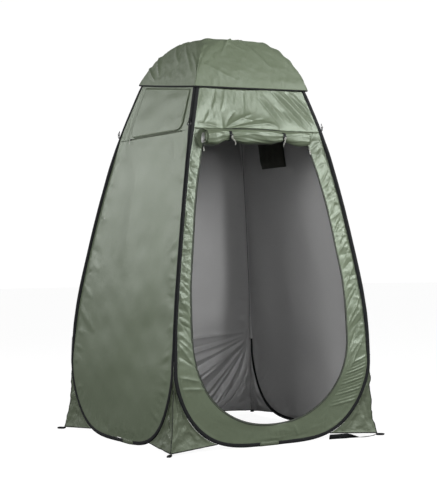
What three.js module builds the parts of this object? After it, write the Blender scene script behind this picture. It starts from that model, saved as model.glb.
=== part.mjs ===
// Pop-up privacy shower tent: four fabric walls held by spring-steel loops, a removable roof
// cap, a roll-up door, a side window and corner gussets with peg loops.
// Units are millimetres, +Z is up, the door faces -Y, and the origin is on the ground under
// the middle of the roof.
import * as THREE from 'three';

// ---- Driving dimensions -------------------------------------------------------------------
// Half width of the tent (wall to centre) at each height.
const WALL_PROFILE = [
  [0, 529], [300, 535], [600, 518], [900, 474], [1200, 419], [1450, 363], [1660, 300],
  [1725, 279], [1764, 263], [1804, 245], [1843, 222], [1883, 190], [1910, 160],
];
const GROUND_CLEAR = 7.5; // wire line above the ground at the bottom of each loop
const BEND_HEIGHT = 352; // where each loop leaves the corner and turns in along the ground
const SHOULDER_HEIGHT = 1600; // where each loop starts to round over at the top
const APEX_HEIGHT = 1880.5; // wire line at the top of each loop
const SEAM_HEIGHT = 1445; // seam the door hangs from
const FABRIC = 1.2;
const GAP = 0.4; // clearance between pieces that touch
const DOOR_SHIFT = -14; // the door opening sits slightly left of the wall's middle
const PEG_REACH = 585; // half side of the square that the peg loops reach
const GUSSET_TIP = 556;
// Half width of the door opening at each height.
const DOOR_PROFILE = [
  [500, 422], [626, 421], [749, 414], [873, 396], [1060, 368], [1175, 345], [1290, 317],
  [1375, 291], [1445, 270],
];
const DOOR_SILL = 92; // lowest point of the door opening
const DOOR_MIDDLE = 500; // height of the door opening's widest point
const DOOR_ROUNDNESS = 2.15;
// Height of the roof cap's hem at its four corners: front-right, back-right, back-left,
// front-left.
const CAP_HEM = [1654, 1700, 1719, 1646];
const CAP_TOP = 1900;
const WALLS = ['front', 'right', 'back', 'left'];
// Where the edge binding is left open and patched, measured along the ground from the middle.
const PATCH_CENTRE = { front: -32, right: -60, back: -40, left: 100 };
const PATCH_LENGTH = 100;

const COLOUR = {
  shell: 0x6f7a66, binding: 0x23262a, steel: 0x9fa3a6, plastic: 0x17191a, mesh: 0x2c302c,
  cord: 0xd9dad4,
};

// ---- Curves and frames --------------------------------------------------------------------
function readCurve(knots, at) {
  const last = knots.length - 1;
  const clamped = Math.min(Math.max(at, knots[0][0]), knots[last][0]);
  let i = 0;
  while (i < last - 1 && clamped > knots[i + 1][0]) i += 1;
  const slopeAt = (k) => {
    const lo = knots[Math.max(k - 1, 0)];
    const hi = knots[Math.min(k + 1, last)];
    return (hi[1] - lo[1]) / (hi[0] - lo[0]);
  };
  const [x0, y0] = knots[i];
  const [x1, y1] = knots[i + 1];
  const span = x1 - x0;
  const t = (clamped - x0) / span;
  const rise = 1 + 2 * t;
  return rise * (1 - t) ** 2 * y0 + t * (1 - t) ** 2 * span * slopeAt(i)
    + t * t * (3 - 2 * t) * y1 + t * t * (t - 1) * span * slopeAt(i + 1);
}

const halfWidth = (z) => readCurve(WALL_PROFILE, z);

function smoothStep(from, to, at) {
  const t = Math.min(Math.max((at - from) / (to - from), 0), 1);
  return t * t * (3 - 2 * t);
}

// The binding lies flat on its wall at the top and the bottom. Between them the bindings of
// two neighbouring walls are sewn face to face and stand out along the corner's diagonal.
const finTurn = (z) => (Math.PI / 4) * smoothStep(335, 570, z) * (1 - smoothStep(1300, 1480, z));
const cornerInset = (z) => 9 - 2.3 * (finTurn(z) / (Math.PI / 4));

function wallNormal(z) {
  const slope = (halfWidth(z + 2) - halfWidth(z - 2)) / 4;
  return new THREE.Vector3(0, -1, -slope).normalize();
}

function bottomBend(fraction) {
  const drop = (1 - fraction ** 3.908) ** (1 / 1.463);
  return GROUND_CLEAR + (BEND_HEIGHT - GROUND_CLEAR) * (1 - drop);
}

function topBend(fraction) {
  return SHOULDER_HEIGHT + (APEX_HEIGHT - SHOULDER_HEIGHT) * (1 - fraction ** 3) ** (1 / 3);
}

// Half of the front loop from the middle of the ground to the middle of the top, as pairs of
// height and fraction of the wall's half width.
const BOTTOM_FRACTIONS = [0, 0.3, 0.52, 0.7, 0.84, 0.94];
const SIDE_LEVELS = [352, 400, 450, 510, 580, 740, 930, 1120, 1300, 1355, 1400, 1445, 1480, 1560,
  1640];
const TOP_FRACTIONS = [0.98, 0.93, 0.8, 0.6, 0.32, 0];
const HALF = [
  ...BOTTOM_FRACTIONS.map((f) => [bottomBend(f), f]),
  ...SIDE_LEVELS.map((z) => [z, 1]),
  ...TOP_FRACTIONS.map((f) => [topBend(f), f]),
];
const TOP = HALF.length - 1;
const COUNT = 2 * TOP;
const SEAM = HALF.findIndex(([z]) => z === SEAM_HEIGHT);

function loopPoint(k) {
  const index = ((k % COUNT) + COUNT) % COUNT;
  const side = index <= TOP ? 1 : -1;
  const [z, fraction] = HALF[index <= TOP ? index : COUNT - index];
  const u = side * fraction * (halfWidth(z) - cornerInset(z));
  return new THREE.Vector3(u, -halfWidth(z), z);
}

// out points away from the loop's middle in the plane of the binding, face is its normal.
function loopFrame(k) {
  const at = loopPoint(k);
  const along = loopPoint(k + 1).sub(loopPoint(k - 1)).normalize();
  const normal = wallNormal(at.z);
  normal.addScaledVector(along, -normal.dot(along)).normalize();
  const flatOut = along.clone().cross(normal);
  const turn = finTurn(at.z);
  const out = flatOut.clone().multiplyScalar(Math.cos(turn)).addScaledVector(normal, Math.sin(turn));
  const face = normal.clone().multiplyScalar(Math.cos(turn)).addScaledVector(flatOut, -Math.sin(turn));
  return { at, out, face, normal, flatOut };
}

const RING = Array.from({ length: COUNT }, (_, k) => loopFrame(k));
const ringAt = (k) => RING[((k % COUNT) + COUNT) % COUNT];
const offset = (frame, a, b = 0) => frame.at.clone()
  .addScaledVector(frame.out, a).addScaledVector(frame.face, b);

// A frame anywhere along the ground part of the loop, by distance from the middle.
function groundFrame(distance) {
  const step = distance >= 0 ? 1 : -1;
  let travelled = 0;
  let k = 0;
  for (;;) {
    const span = ringAt(k).at.distanceTo(ringAt(k + step).at);
    if (travelled + span > Math.abs(distance)) {
      const t = (Math.abs(distance) - travelled) / span;
      const mix = (key) => ringAt(k)[key].clone().lerp(ringAt(k + step)[key], t);
      return { at: mix('at'), out: mix('out').normalize(), face: mix('face').normalize(), k };
    }
    travelled += span;
    k += step;
  }
}

// The frames met going once round the loop, from one distance along the ground to another.
function framesAround(from, to) {
  const start = groundFrame(from);
  const end = groundFrame(to);
  const first = from >= 0 ? start.k + 1 : start.k;
  const last = to >= 0 ? COUNT + end.k : COUNT + end.k - 1;
  const between = Array.from({ length: last - first + 1 }, (_, i) => ringAt(first + i));
  return [start, ...between, end];
}

// ---- Solids -------------------------------------------------------------------------------
function closedBody(points, faces) {
  let volume = 0;
  for (const [a, b, c] of faces) {
    volume += points[a].dot(points[b].clone().cross(points[c]));
  }
  const flat = [];
  for (const p of points) flat.push(p.x, p.y, p.z);
  const geometry = new THREE.BufferGeometry();
  geometry.setAttribute('position', new THREE.Float32BufferAttribute(flat, 3));
  geometry.setIndex(faces.flatMap(([a, b, c]) => (volume > 0 ? [a, b, c] : [a, c, b])));
  return geometry;
}

// An open surface of triangles made into a closed sheet of even thickness.
function sheet(points, faces, thickness = FABRIC) {
  const normals = points.map(() => new THREE.Vector3());
  const edges = new Map();
  for (const [a, b, c] of faces) {
    const normal = points[b].clone().sub(points[a]).cross(points[c].clone().sub(points[a]));
    for (const v of [a, b, c]) normals[v].add(normal);
    for (const [p, q] of [[a, b], [b, c], [c, a]]) edges.set(`${p}_${q}`, [p, q]);
  }
  const half = thickness / 2;
  const upper = points.map((p, i) => p.clone().addScaledVector(normals[i].normalize(), half));
  const lower = points.map((p, i) => p.clone().addScaledVector(normals[i], -half));
  const n = points.length;
  const all = [];
  for (const [a, b, c] of faces) all.push([a, b, c], [n + c, n + b, n + a]);
  for (const [a, b] of edges.values()) {
    if (!edges.has(`${b}_${a}`)) all.push([b, a, n + a], [b, n + a, n + b]);
  }
  return closedBody([...upper, ...lower], all);
}

// Faces of a grid of points, row by row; a closed grid joins its last column to its first.
function gridFaces(rows, columns, closed = false) {
  const faces = [];
  const last = closed ? columns : columns - 1;
  for (let r = 0; r < rows - 1; r += 1) {
    for (let c = 0; c < last; c += 1) {
      const [a, b] = [r * columns + c, r * columns + ((c + 1) % columns)];
      faces.push([a, b, b + columns], [a, b + columns, a + columns]);
    }
  }
  return faces;
}

const sheetOfRows = (rows, thickness = FABRIC) => sheet(
  rows.flat(), gridFaces(rows.length, rows[0].length), thickness,
);

// A section swept through frames; the section's points are [out, face] distances.
function sweep(frames, section) {
  const outline = section.map(([a, b]) => new THREE.Vector2(a, b));
  if (THREE.ShapeUtils.area(outline) < 0) outline.reverse();
  const size = outline.length;
  const points = frames.flatMap((f) => outline.map(({ x, y }) => offset(f, x, y)));
  const faces = gridFaces(frames.length, size, true);
  const far = (frames.length - 1) * size;
  for (const [a, b, c] of THREE.ShapeUtils.triangulateShape(outline, [])) {
    faces.push([c, b, a], [far + a, far + b, far + c]);
  }
  return closedBody(points, faces);
}

// Rings of points joined one to the next and the last back to the first: a tube, a band or
// any other body with a hole through it.
function joinedRings(rings) {
  const size = rings[0].length;
  const faces = gridFaces(rings.length, size, true);
  const far = (rings.length - 1) * size;
  for (let c = 0; c < size; c += 1) {
    const next = (c + 1) % size;
    faces.push([far + c, far + next, next], [far + c, next, c]);
  }
  return closedBody(rings.flat(), faces);
}

// A block between two outlines of the same number of points.
function block(lower, upper) {
  const size = lower.length;
  const faces = gridFaces(2, size, true);
  for (let c = 1; c < size - 1; c += 1) {
    faces.push([0, c + 1, c], [size, size + c, size + c + 1]);
  }
  return closedBody([...lower, ...upper], faces);
}

function polygonSection(radius, sides, outShift = 0) {
  return Array.from({ length: sides }, (_, i) => {
    const turn = (2 * Math.PI * i) / sides;
    return [outShift + radius * Math.cos(turn), radius * Math.sin(turn)];
  });
}

const v3 = (x, y, z) => new THREE.Vector3(x, y, z);
const object = new THREE.Group();
object.name = 'privacy_shower_tent';

// Every wall's pieces are built as the front wall's and turned by quarter turns.
// The tent stands slightly out of true: its body leans to the right and forwards by these
// shares of the height, as cloth tents on uneven tension do.
const LEAN = { right: 0.021, forwards: 0.011, level: 8 };
function leaned(geometry, quarterTurns) {
  const place = geometry.getAttribute('position');
  const turn = (-quarterTurns * Math.PI) / 2;
  const [c, s] = [Math.round(Math.cos(turn)), Math.round(Math.sin(turn))];
  for (let i = 0; i < place.count; i += 1) {
    const rise = place.getZ(i) - LEAN.level;
    const [x, y] = [LEAN.right * rise, -LEAN.forwards * rise];
    place.setX(i, place.getX(i) + x * c - y * s);
    place.setY(i, place.getY(i) + x * s + y * c);
  }
  place.needsUpdate = true;
  return geometry;
}

function add(name, geometry, color, quarterTurns = 0, roughness = 0.7, metalness = 0) {
  leaned(geometry, quarterTurns);
  const mesh = new THREE.Mesh(
    geometry, new THREE.MeshStandardMaterial({ color, roughness, metalness }),
  );
  mesh.name = name;
  mesh.rotation.z = (quarterTurns * Math.PI) / 2;
  object.add(mesh);
}

// ---- Spring-steel loops and their fabric binding ------------------------------------------
// The binding is a tape folded round the wall's raw edge, open towards the wall, with the
// wire in its fold.
const BINDING_SECTION = [
  [-9, 3.6], [4, 4.3], [7.5, 0], [4, -4.3], [-9, -3.6],
  [-9, -1.4], [1, -2.9], [4.2, 0], [1, 2.9], [-9, 1.4],
];
// The patch over the binding's gap is roomier, because the wire's joint is under it.
const PATCH_SECTION = [
  [-11, 4], [3, 5.6], [7.5, 0], [3, -5.6], [-11, -4],
  [-11, -1.4], [-5, -2.6], [1.5, -4.3], [5.6, 0], [1.5, 4.3], [-5, 2.6], [-11, 1.4],
];
const WIRE_RADIUS = 2;
const WIRE_OUT = 0.3;
const FERRULE_RADIUS = 3.4;
const FERRULE_BORE = 2.45;
const FERRULE_LENGTH = 60;

WALLS.forEach((wall, quarter) => {
  const centre = PATCH_CENTRE[wall];
  const reach = PATCH_LENGTH / 2;
  const binding = sweep(framesAround(centre + reach, centre - reach), BINDING_SECTION);
  add(`edge_sleeve_${wall}`, binding, COLOUR.binding, quarter, 0.85);
  const wire = sweep(
    framesAround(centre + 0.5, centre - 0.5), polygonSection(WIRE_RADIUS, 5, WIRE_OUT),
  );
  add(`frame_wire_${wall}`, wire, COLOUR.steel, quarter, 0.35, 0.9);

  const tube = [-0.5, 0.5].map((end) => groundFrame(centre + end * FERRULE_LENGTH));
  const ring = (frame, radius) => polygonSection(radius, 8, WIRE_OUT)
    .map(([a, b]) => offset(frame, a, b));
  const ferrule = joinedRings([
    ring(tube[0], FERRULE_RADIUS), ring(tube[1], FERRULE_RADIUS),
    ring(tube[1], FERRULE_BORE), ring(tube[0], FERRULE_BORE),
  ]);
  add(`wire_ferrule_${wall}`, ferrule, COLOUR.steel, quarter, 0.4, 0.9);

  const patchEnds = [centre - reach + GAP, centre + reach - GAP].map(groundFrame);
  add(`joint_patch_${wall}`, sweep(patchEnds, PATCH_SECTION), COLOUR.shell, quarter);
});

// ---- Walls --------------------------------------------------------------------------------
const EDGE_OUT = -3.7; // the fabric's raw edge, inside the binding
const MOUTH_OUT = -12.5; // where the fabric leaves the binding
const edgePoint = (k) => offset(ringAt(k), EDGE_OUT);
const mouthPoint = (k) => offset(ringAt(k), MOUTH_OUT);

// How far the middle of a wall's fabric stands from the tent's axis at each height, and the
// half width of its free part.
function wallReading(z, read) {
  let k = 0;
  while (k < TOP - 1 && mouthPoint(k + 1).z < z) k += 1;
  const [lo, hi] = [mouthPoint(k), mouthPoint(k + 1)];
  const t = (z - lo.z) / (hi.z - lo.z);
  return read(lo) * (1 - t) + read(hi) * t;
}
const wallDepth = (z) => wallReading(z, (p) => -p.y);
const wallReach = (z) => wallReading(z, (p) => p.x);
// A point beside the front wall's fabric; lift is positive outside the tent.
const onWall = (u, z, lift = 0) => v3(u, -wallDepth(z) - lift, z);

// A wall's fabric between two levels of its loop. holeShare is the part of the wall's width
// that a window takes between levels holeFrom and holeTo.
function wallFabric(first, last, { holeShare = 0, holeFrom = 0, holeTo = 0 } = {}) {
  const points = [];
  const put = (p) => points.push(p) - 1;
  const rows = [];
  for (let k = first; k <= last; k += 1) {
    const mouth = put(mouthPoint(k));
    const edge = put(edgePoint(k));
    if (k === 0 || k === TOP) {
      rows.push([edge, mouth, mouth, mouth, mouth, edge]);
    } else {
      const across = mouthPoint(k);
      const leftMouth = put(mouthPoint(-k));
      const leftEdge = put(edgePoint(-k));
      const inner = (side) => put(v3(side * holeShare * across.x, across.y, across.z));
      const [leftInner, rightInner] = holeShare ? [inner(-1), inner(1)] : [leftMouth, mouth];
      rows.push([leftEdge, leftMouth, leftInner, rightInner, mouth, edge]);
    }
  }
  const faces = [];
  rows.slice(1).forEach((high, i) => {
    const low = rows[i];
    for (let c = 0; c < 5; c += 1) {
      const open = c === 2 && holeShare && first + i >= holeFrom && first + i < holeTo;
      const pair = [[low[c], low[c + 1], high[c + 1]], [low[c], high[c + 1], high[c]]];
      if (!open) faces.push(...pair.filter((face) => new Set(face).size === 3));
    }
  });
  return sheet(points, faces);
}

add('right_wall', wallFabric(0, TOP), COLOUR.shell, 1);
add('back_wall', wallFabric(0, TOP), COLOUR.shell, 2);
const WINDOW_SHARE = 0.66;
const WINDOW_LOW = SEAM + 1;
const WINDOW_HIGH = SEAM + 3;
add('left_wall', wallFabric(0, TOP, {
  holeShare: WINDOW_SHARE, holeFrom: WINDOW_LOW, holeTo: WINDOW_HIGH,
}), COLOUR.shell, 3);
add('front_header', wallFabric(SEAM, TOP), COLOUR.shell);

// The front wall under the seam is a strip round the door opening.
// Degrees round the opening from the sill to its widest point, one for each loop sample.
const SILL_TURNS = [0, 16, 29, 41, 52, 62, 71, 78, 84, 90];
function doorPoint(k) {
  const side = Math.sign(k);
  const step = Math.abs(k);
  let [u, z] = [0, mouthPoint(step).z];
  if (step < SILL_TURNS.length) {
    const turn = (SILL_TURNS[step] * Math.PI) / 180;
    u = DOOR_PROFILE[0][1] * Math.sin(turn) ** (2 / DOOR_ROUNDNESS);
    z = DOOR_MIDDLE - (DOOR_MIDDLE - DOOR_SILL) * Math.cos(turn) ** (2 / DOOR_ROUNDNESS);
  } else {
    u = readCurve(DOOR_PROFILE, z);
  }
  return onWall(side * u + DOOR_SHIFT, z);
}
const doorRows = [];
for (let k = -SEAM; k <= SEAM; k += 1) {
  const row = [edgePoint(k), mouthPoint(k), doorPoint(k)];
  if (Math.abs(k) === SEAM) row.forEach((p) => { p.z -= GAP; });
  doorRows.push(row);
}
add('front_wall', sheetOfRows(doorRows), COLOUR.shell);

// Zip tape that edges the door opening.
const TAPE_WIDTH = 6;
const TAPE_THICKNESS = 1.4;
function doorTapeRow(k) {
  const at = doorPoint(k);
  const along = doorPoint(Math.min(k + 1, SEAM)).sub(doorPoint(Math.max(k - 1, -SEAM)));
  const inward = wallNormal(at.z).cross(along.normalize());
  if (Math.abs(k) === SEAM) at.z -= 6;
  return [GAP, GAP + TAPE_WIDTH].map((d) => at.clone().addScaledVector(inward, d));
}
const tapeRows = [];
for (let k = -SEAM; k <= SEAM; k += 1) tapeRows.push(doorTapeRow(k));
add('door_zip', sheetOfRows(tapeRows, TAPE_THICKNESS), COLOUR.binding);

// ---- Corner gussets, peg loops and guy rings ----------------------------------------------
// Built at the front-right corner; mirroring in the corner's diagonal gives the other half.
const CORNERS = ['front_right', 'back_right', 'back_left', 'front_left'];
const acrossCorner = (p) => v3(-p.y, -p.x, p.z);
const onDiagonal = (reach, z) => v3(reach, -reach, z);
const BESIDE_BINDING = 8.3;
const besideLoop = (k) => ringAt(k).at.clone().addScaledVector(ringAt(k).flatOut, BESIDE_BINDING);
const GUSSET_STEPS = [5, 4, 3]; // loop samples that the gusset's sides follow, downwards
const GUSSET_SEAM = [[539, 250], [545, 140], [GUSSET_TIP, 15]]; // reach and height of its seam
const gussetPoints = [onDiagonal(533, 322)];
GUSSET_STEPS.forEach((k, row) => {
  const side = besideLoop(k);
  const seam = onDiagonal(...GUSSET_SEAM[row]);
  const middle = side.clone().lerp(seam, 0.5).add(v3(0, row === 2 ? 0 : -3, 0));
  gussetPoints.push(side, middle, seam, acrossCorner(middle), acrossCorner(side));
});
const gussetFaces = [[0, 1, 2], [0, 2, 3], [0, 3, 4], [0, 4, 5]];
for (const [a, b, c] of gridFaces(GUSSET_STEPS.length, 5)) {
  gussetFaces.push([a + 1, c + 1, b + 1]);
}

const PEG_START = GUSSET_TIP - 2;
const PEG_WIDTH = 12;
// Side view of the webbing loop: distance outwards from its root and height.
const PEG_OUTLINE = [[6, 0], [PEG_REACH - PEG_START - 5, 0], [PEG_REACH - PEG_START, 4],
  [PEG_REACH - PEG_START, 9], [PEG_REACH - PEG_START - 5, 13], [6, 12.5], [3.5, 11], [3.5, 2]];
const PEG_HOLE = [[8, 2], [PEG_REACH - PEG_START - 6, 2], [PEG_REACH - PEG_START - 2.5, 5],
  [PEG_REACH - PEG_START - 2.5, 8], [PEG_REACH - PEG_START - 6, 11], [8, 10.5], [6, 9.5], [6, 3.5]];
const sideways = v3(1, 1, 0).normalize();
const pegRing = (outline, shift) => outline.map(([d, z]) => onDiagonal(PEG_START + d, z)
  .addScaledVector(sideways, shift));

const RING_HEIGHT = 1466;
const RING_RADIUS = 9; // middle of the ring's section
const RING_SECTION = 1.7;
const RING_SIDES = [6.6, -6.6, 6.6, -6.6]; // each ring hangs on the side wall's side of its corner
const RING_STAND = 5; // the ring's plane beyond the wall's corner
const outwards = v3(1, -1, 0).normalize();
function guyPoint(side, across, out, up) {
  return onDiagonal(halfWidth(RING_HEIGHT), RING_HEIGHT).add(v3(0, 0, up))
    .addScaledVector(outwards, RING_STAND + out).addScaledVector(sideways, side + across);
}
const guyRing = (side) => joinedRings(Array.from({ length: 12 }, (_, i) => {
  const turn = (2 * Math.PI * i) / 12;
  return polygonSection(RING_SECTION, 6).map(([a, b]) => guyPoint(
    side, (RING_RADIUS + a) * Math.cos(turn), b, (RING_RADIUS + a) * Math.sin(turn),
  ));
}));
// The tab is a folded tape: it passes through the ring and its tail is sewn to the corner.
const TAB_HALF = 3.2;
const TAB_OUTLINE = [[-4.6, -4.8], [4.4, -4.8], [4.4, 2.8], [-2.2, 14], [-4.6, 14]];
const TAB_HOLE = [[-2.6, -3.6], [3.2, -3.6], [3.2, 2.4], [0.8, 4.4], [-2.6, 4.4]];
const tabSide = (outline, side, across) => outline
  .map(([out, up]) => guyPoint(side, across, out, RING_RADIUS + up));
const ringTab = (side) => joinedRings([
  tabSide(TAB_OUTLINE, side, -TAB_HALF), tabSide(TAB_OUTLINE, side, TAB_HALF),
  tabSide(TAB_HOLE, side, TAB_HALF), tabSide(TAB_HOLE, side, -TAB_HALF),
]);

CORNERS.forEach((corner, quarter) => {
  add(`corner_gusset_${corner}`, sheet(gussetPoints, gussetFaces), COLOUR.shell, quarter);
  add(`peg_loop_${corner}`, joinedRings([
    pegRing(PEG_OUTLINE, -PEG_WIDTH / 2), pegRing(PEG_OUTLINE, PEG_WIDTH / 2),
    pegRing(PEG_HOLE, PEG_WIDTH / 2), pegRing(PEG_HOLE, -PEG_WIDTH / 2),
  ]), COLOUR.binding, quarter, 0.85);
  add(`guy_ring_${corner}`, guyRing(RING_SIDES[quarter]), COLOUR.plastic, quarter, 0.45);
  add(`ring_tab_${corner}`, ringTab(RING_SIDES[quarter]), COLOUR.binding, quarter, 0.85);
});

// ---- Roof ---------------------------------------------------------------------------------
// Mesh between the tops of the four loops: a square between the apexes and four corner gores.
const MESH_THICKNESS = 0.8;
const goreSteps = [];
for (let k = SEAM + 5; k <= TOP; k += 1) goreSteps.push(k);
const quarterTurn = (p, turns) => p.clone().applyAxisAngle(v3(0, 0, 1), (turns * Math.PI) / 2);
const roofPoints = [v3(0, 0, besideLoop(TOP).z)];
const roofFaces = [];
for (let corner = 0; corner < 4; corner += 1) roofPoints.push(quarterTurn(besideLoop(TOP), corner));
for (let corner = 0; corner < 4; corner += 1) {
  const apexes = [1 + corner, 1 + ((corner + 1) % 4)];
  roofFaces.push([0, ...apexes]);
  let low = [roofPoints.push(quarterTurn(onDiagonal(
    halfWidth(1692) - 1, 1692,
  ), corner)) - 1];
  for (const k of goreSteps) {
    const side = besideLoop(k);
    const high = k === TOP ? apexes : [
      roofPoints.push(quarterTurn(side, corner)) - 1,
      roofPoints.push(quarterTurn(acrossCorner(side), corner)) - 1,
    ];
    if (low.length === 1) roofFaces.push([low[0], high[1], high[0]]);
    else roofFaces.push([low[0], low[1], high[1]], [low[0], high[1], high[0]]);
    low = high;
  }
}
add('roof_mesh', sheet(roofPoints, roofFaces, MESH_THICKNESS), COLOUR.mesh);

// The removable cap is a rounded pyramid that clears the loops all round.
const CAP_CLEAR = 8;
const CAP_LEVELS = [1650, 1700, 1748, 1790, 1828, 1860, 1882, 1893];
function capRing(level) {
  const ring = [];
  for (let side = 0; side < 4; side += 1) {
    const hems = [CAP_HEM[(side + 3) % 4], CAP_HEM[side]];
    for (const share of [-0.5, 0, 0.5, 1, 1.5, 2]) {
      // share runs from the left part of this side's face to the next side's face
      const along = Math.min(Math.max((share + 1) / 2, 0), 1);
      const hem = hems[0] * (1 - along) + hems[1] * along;
      const z = hem + ((level - 1650) * (CAP_TOP - hem)) / (CAP_TOP - 1650);
      const half = halfWidth(z) + CAP_CLEAR;
      const rise = Math.min(Math.max((z - SHOULDER_HEIGHT) / 300, 0), 1);
      const flat = (half - 1) * (1 - rise ** 3) ** (1 / 3);
      if (share <= 1) ring.push(quarterTurn(v3(share * flat, -half, z), side));
      else if (share === 1.5) {
        const middle = v3(flat, -half, z).add(v3(half, -flat, z)).multiplyScalar(0.5);
        const bulge = 0.12 * (half - flat);
        ring.push(quarterTurn(middle.add(v3(bulge, -bulge, 0)), side));
      } else ring.push(quarterTurn(v3(half, -flat, z), side));
    }
  }
  return ring;
}
const capRings = CAP_LEVELS.map(capRing);
const crown = capRings[capRings.length - 1];
capRings.push(crown.map((p) => v3(p.x * 0.55, p.y * 0.55, CAP_TOP - 2)));
const capPoints = [...capRings.flat(), v3(0, 0, CAP_TOP - FABRIC / 2)];
const capFaces = gridFaces(capRings.length, crown.length, true);
for (let c = 0; c < crown.length; c += 1) {
  const start = (capRings.length - 1) * crown.length;
  capFaces.push([start + c, start + ((c + 1) % crown.length), capPoints.length - 1]);
}
add('roof_cap', sheet(capPoints, capFaces), COLOUR.shell);

// Binding under the cap's hem.
const HEM_HEIGHT = 5;
const hemRing = (drop, out) => capRings[0].map((p) => {
  const reach = Math.hypot(p.x, p.y);
  return v3(p.x * (1 + out / reach), p.y * (1 + out / reach), p.z - drop);
});
add('cap_hem', joinedRings([
  hemRing(1, 1.2), hemRing(1 + HEM_HEIGHT, 1.2), hemRing(1 + HEM_HEIGHT, -1.2), hemRing(1, -1.2),
]), COLOUR.binding, 0, 0.85);

// ---- Rolled-up door and its ties ----------------------------------------------------------
const ROLL_HALF = 280;
const ROLL_CENTRE = { u: -26, z: SEAM_HEIGHT - 38 };
const ROLL_DEPTH = 27;
const ROLL_HEIGHT = 32;
const ROLL_STAND = ROLL_DEPTH + 3; // roll's middle, out from the wall's fabric
const TIE_PLACES = { left: -180, right: 110 };
const TIE_HALF = 7;
const rollMiddle = wallDepth(ROLL_CENTRE.z) + ROLL_STAND;
function rollPinch(u) {
  const near = Math.min(...Object.values(TIE_PLACES).map((place) => Math.abs(u - place)));
  return 1 - 0.22 * (1 - smoothStep(TIE_HALF + 2, 70, near));
}
function rollRing(u) {
  const pinch = rollPinch(u);
  return Array.from({ length: 12 }, (_, i) => {
    const turn = (2 * Math.PI * i) / 12;
    const rise = ROLL_HEIGHT * Math.sin(turn) * (Math.sin(turn) > 0 ? 1 : pinch);
    return v3(u, -rollMiddle - ROLL_DEPTH * pinch * Math.cos(turn), ROLL_CENTRE.z + rise);
  });
}
const rollPlaces = [-ROLL_HALF, -280, -240, -205, -190, -170, -150, -100, -40, 30, 80, 100, 120,
  140, 190, ROLL_HALF].map((u) => u + (Math.abs(u) === ROLL_HALF ? ROLL_CENTRE.u : 0));
add('door_roll', sweepRings(rollPlaces.map(rollRing)), COLOUR.shell);

// A body through rings of points, with flat ends.
function sweepRings(rings) {
  const size = rings[0].length;
  const faces = gridFaces(rings.length, size, true);
  const far = (rings.length - 1) * size;
  for (let c = 1; c < size - 1; c += 1) faces.push([0, c + 1, c], [far, far + c, far + c + 1]);
  return closedBody(rings.flat(), faces);
}

const TIE_THICKNESS = 1.4;
const TOGGLE = { radius: 4, half: 9 };
for (const [side, place] of Object.entries(TIE_PLACES)) {
  const band = (grow, shift) => rollRing(place).map((p) => {
    const away = v3(0, p.y + rollMiddle, p.z - ROLL_CENTRE.z);
    const reach = away.length();
    return p.clone().addScaledVector(away, grow / reach).add(v3(shift, 0, 0));
  });
  add(`door_tie_${side}`, joinedRings([
    band(GAP + TIE_THICKNESS, -TIE_HALF), band(GAP + TIE_THICKNESS, TIE_HALF),
    band(GAP, TIE_HALF), band(GAP, -TIE_HALF),
  ]), COLOUR.binding, 0, 0.85);
  // Barrel toggle across the tie, low on the front of the roll.
  const front = rollMiddle + ROLL_DEPTH + TIE_THICKNESS + TOGGLE.radius;
  const toggleRing = (u) => polygonSection(TOGGLE.radius, 8)
    .map(([a, b]) => v3(u, -front - a, ROLL_CENTRE.z + 8 + b));
  add(`tie_toggle_${side}`, sweepRings([
    toggleRing(place - TOGGLE.half), toggleRing(place + TOGGLE.half),
  ]), COLOUR.plastic, 0, 0.45);
}

// ---- Zip sliders and pulls ----------------------------------------------------------------
// Sliders rest at the top of the door opening, on the tape, clear of it by a running gap.
const SLIDER = { half: [3.5, 5.5], low: 1.9, high: 5.4 };
const PULL = { half: 3, length: 24, thickness: 1.6 };
function sliderAt(name, centre, down, normal, turns = 0) {
  const across = normal.clone().cross(down).normalize();
  const corner = (a, b, lift) => centre.clone().addScaledVector(across, a)
    .addScaledVector(down, b).addScaledVector(normal, lift);
  const [w, h] = SLIDER.half;
  const plate = (lift, shrink) => [[-w, -h], [w, -h], [w - 1, h], [1 - w, h]]
    .map(([a, b]) => corner(a * shrink, b * shrink, lift));
  add(`${name}_slider`, block(plate(SLIDER.low, 1), plate(SLIDER.high, 0.8)), COLOUR.plastic,
    turns, 0.4);
  const wide = normal.clone().cross(v3(0, 0, -1)).normalize();
  const hang = wide.clone().cross(normal);
  const start = corner(0, 0, SLIDER.high + GAP);
  const strip = (drop) => [[-PULL.half, 0], [PULL.half, 0], [PULL.half, PULL.thickness],
    [-PULL.half, PULL.thickness]].map(([a, lift]) => start.clone()
    .addScaledVector(wide, a).addScaledVector(hang, drop).addScaledVector(normal, lift));
  add(`${name}_pull`, block(strip(0), strip(PULL.length)), COLOUR.cord, turns, 0.8);
}
const SLIDER_HEIGHT = 1362;
for (const side of [-1, 1]) {
  const place = (z) => onWall(side * (readCurve(DOOR_PROFILE, z) - GAP - TAPE_WIDTH / 2)
    + DOOR_SHIFT, z);
  const centre = place(SLIDER_HEIGHT);
  const down = place(SLIDER_HEIGHT - 20).sub(place(SLIDER_HEIGHT + 20)).normalize();
  const normal = v3(1, 0, 0).cross(down).normalize();
  sliderAt(side < 0 ? 'door_left' : 'door_right', centre, down, normal.y < 0 ? normal
    : normal.negate());
}

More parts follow.
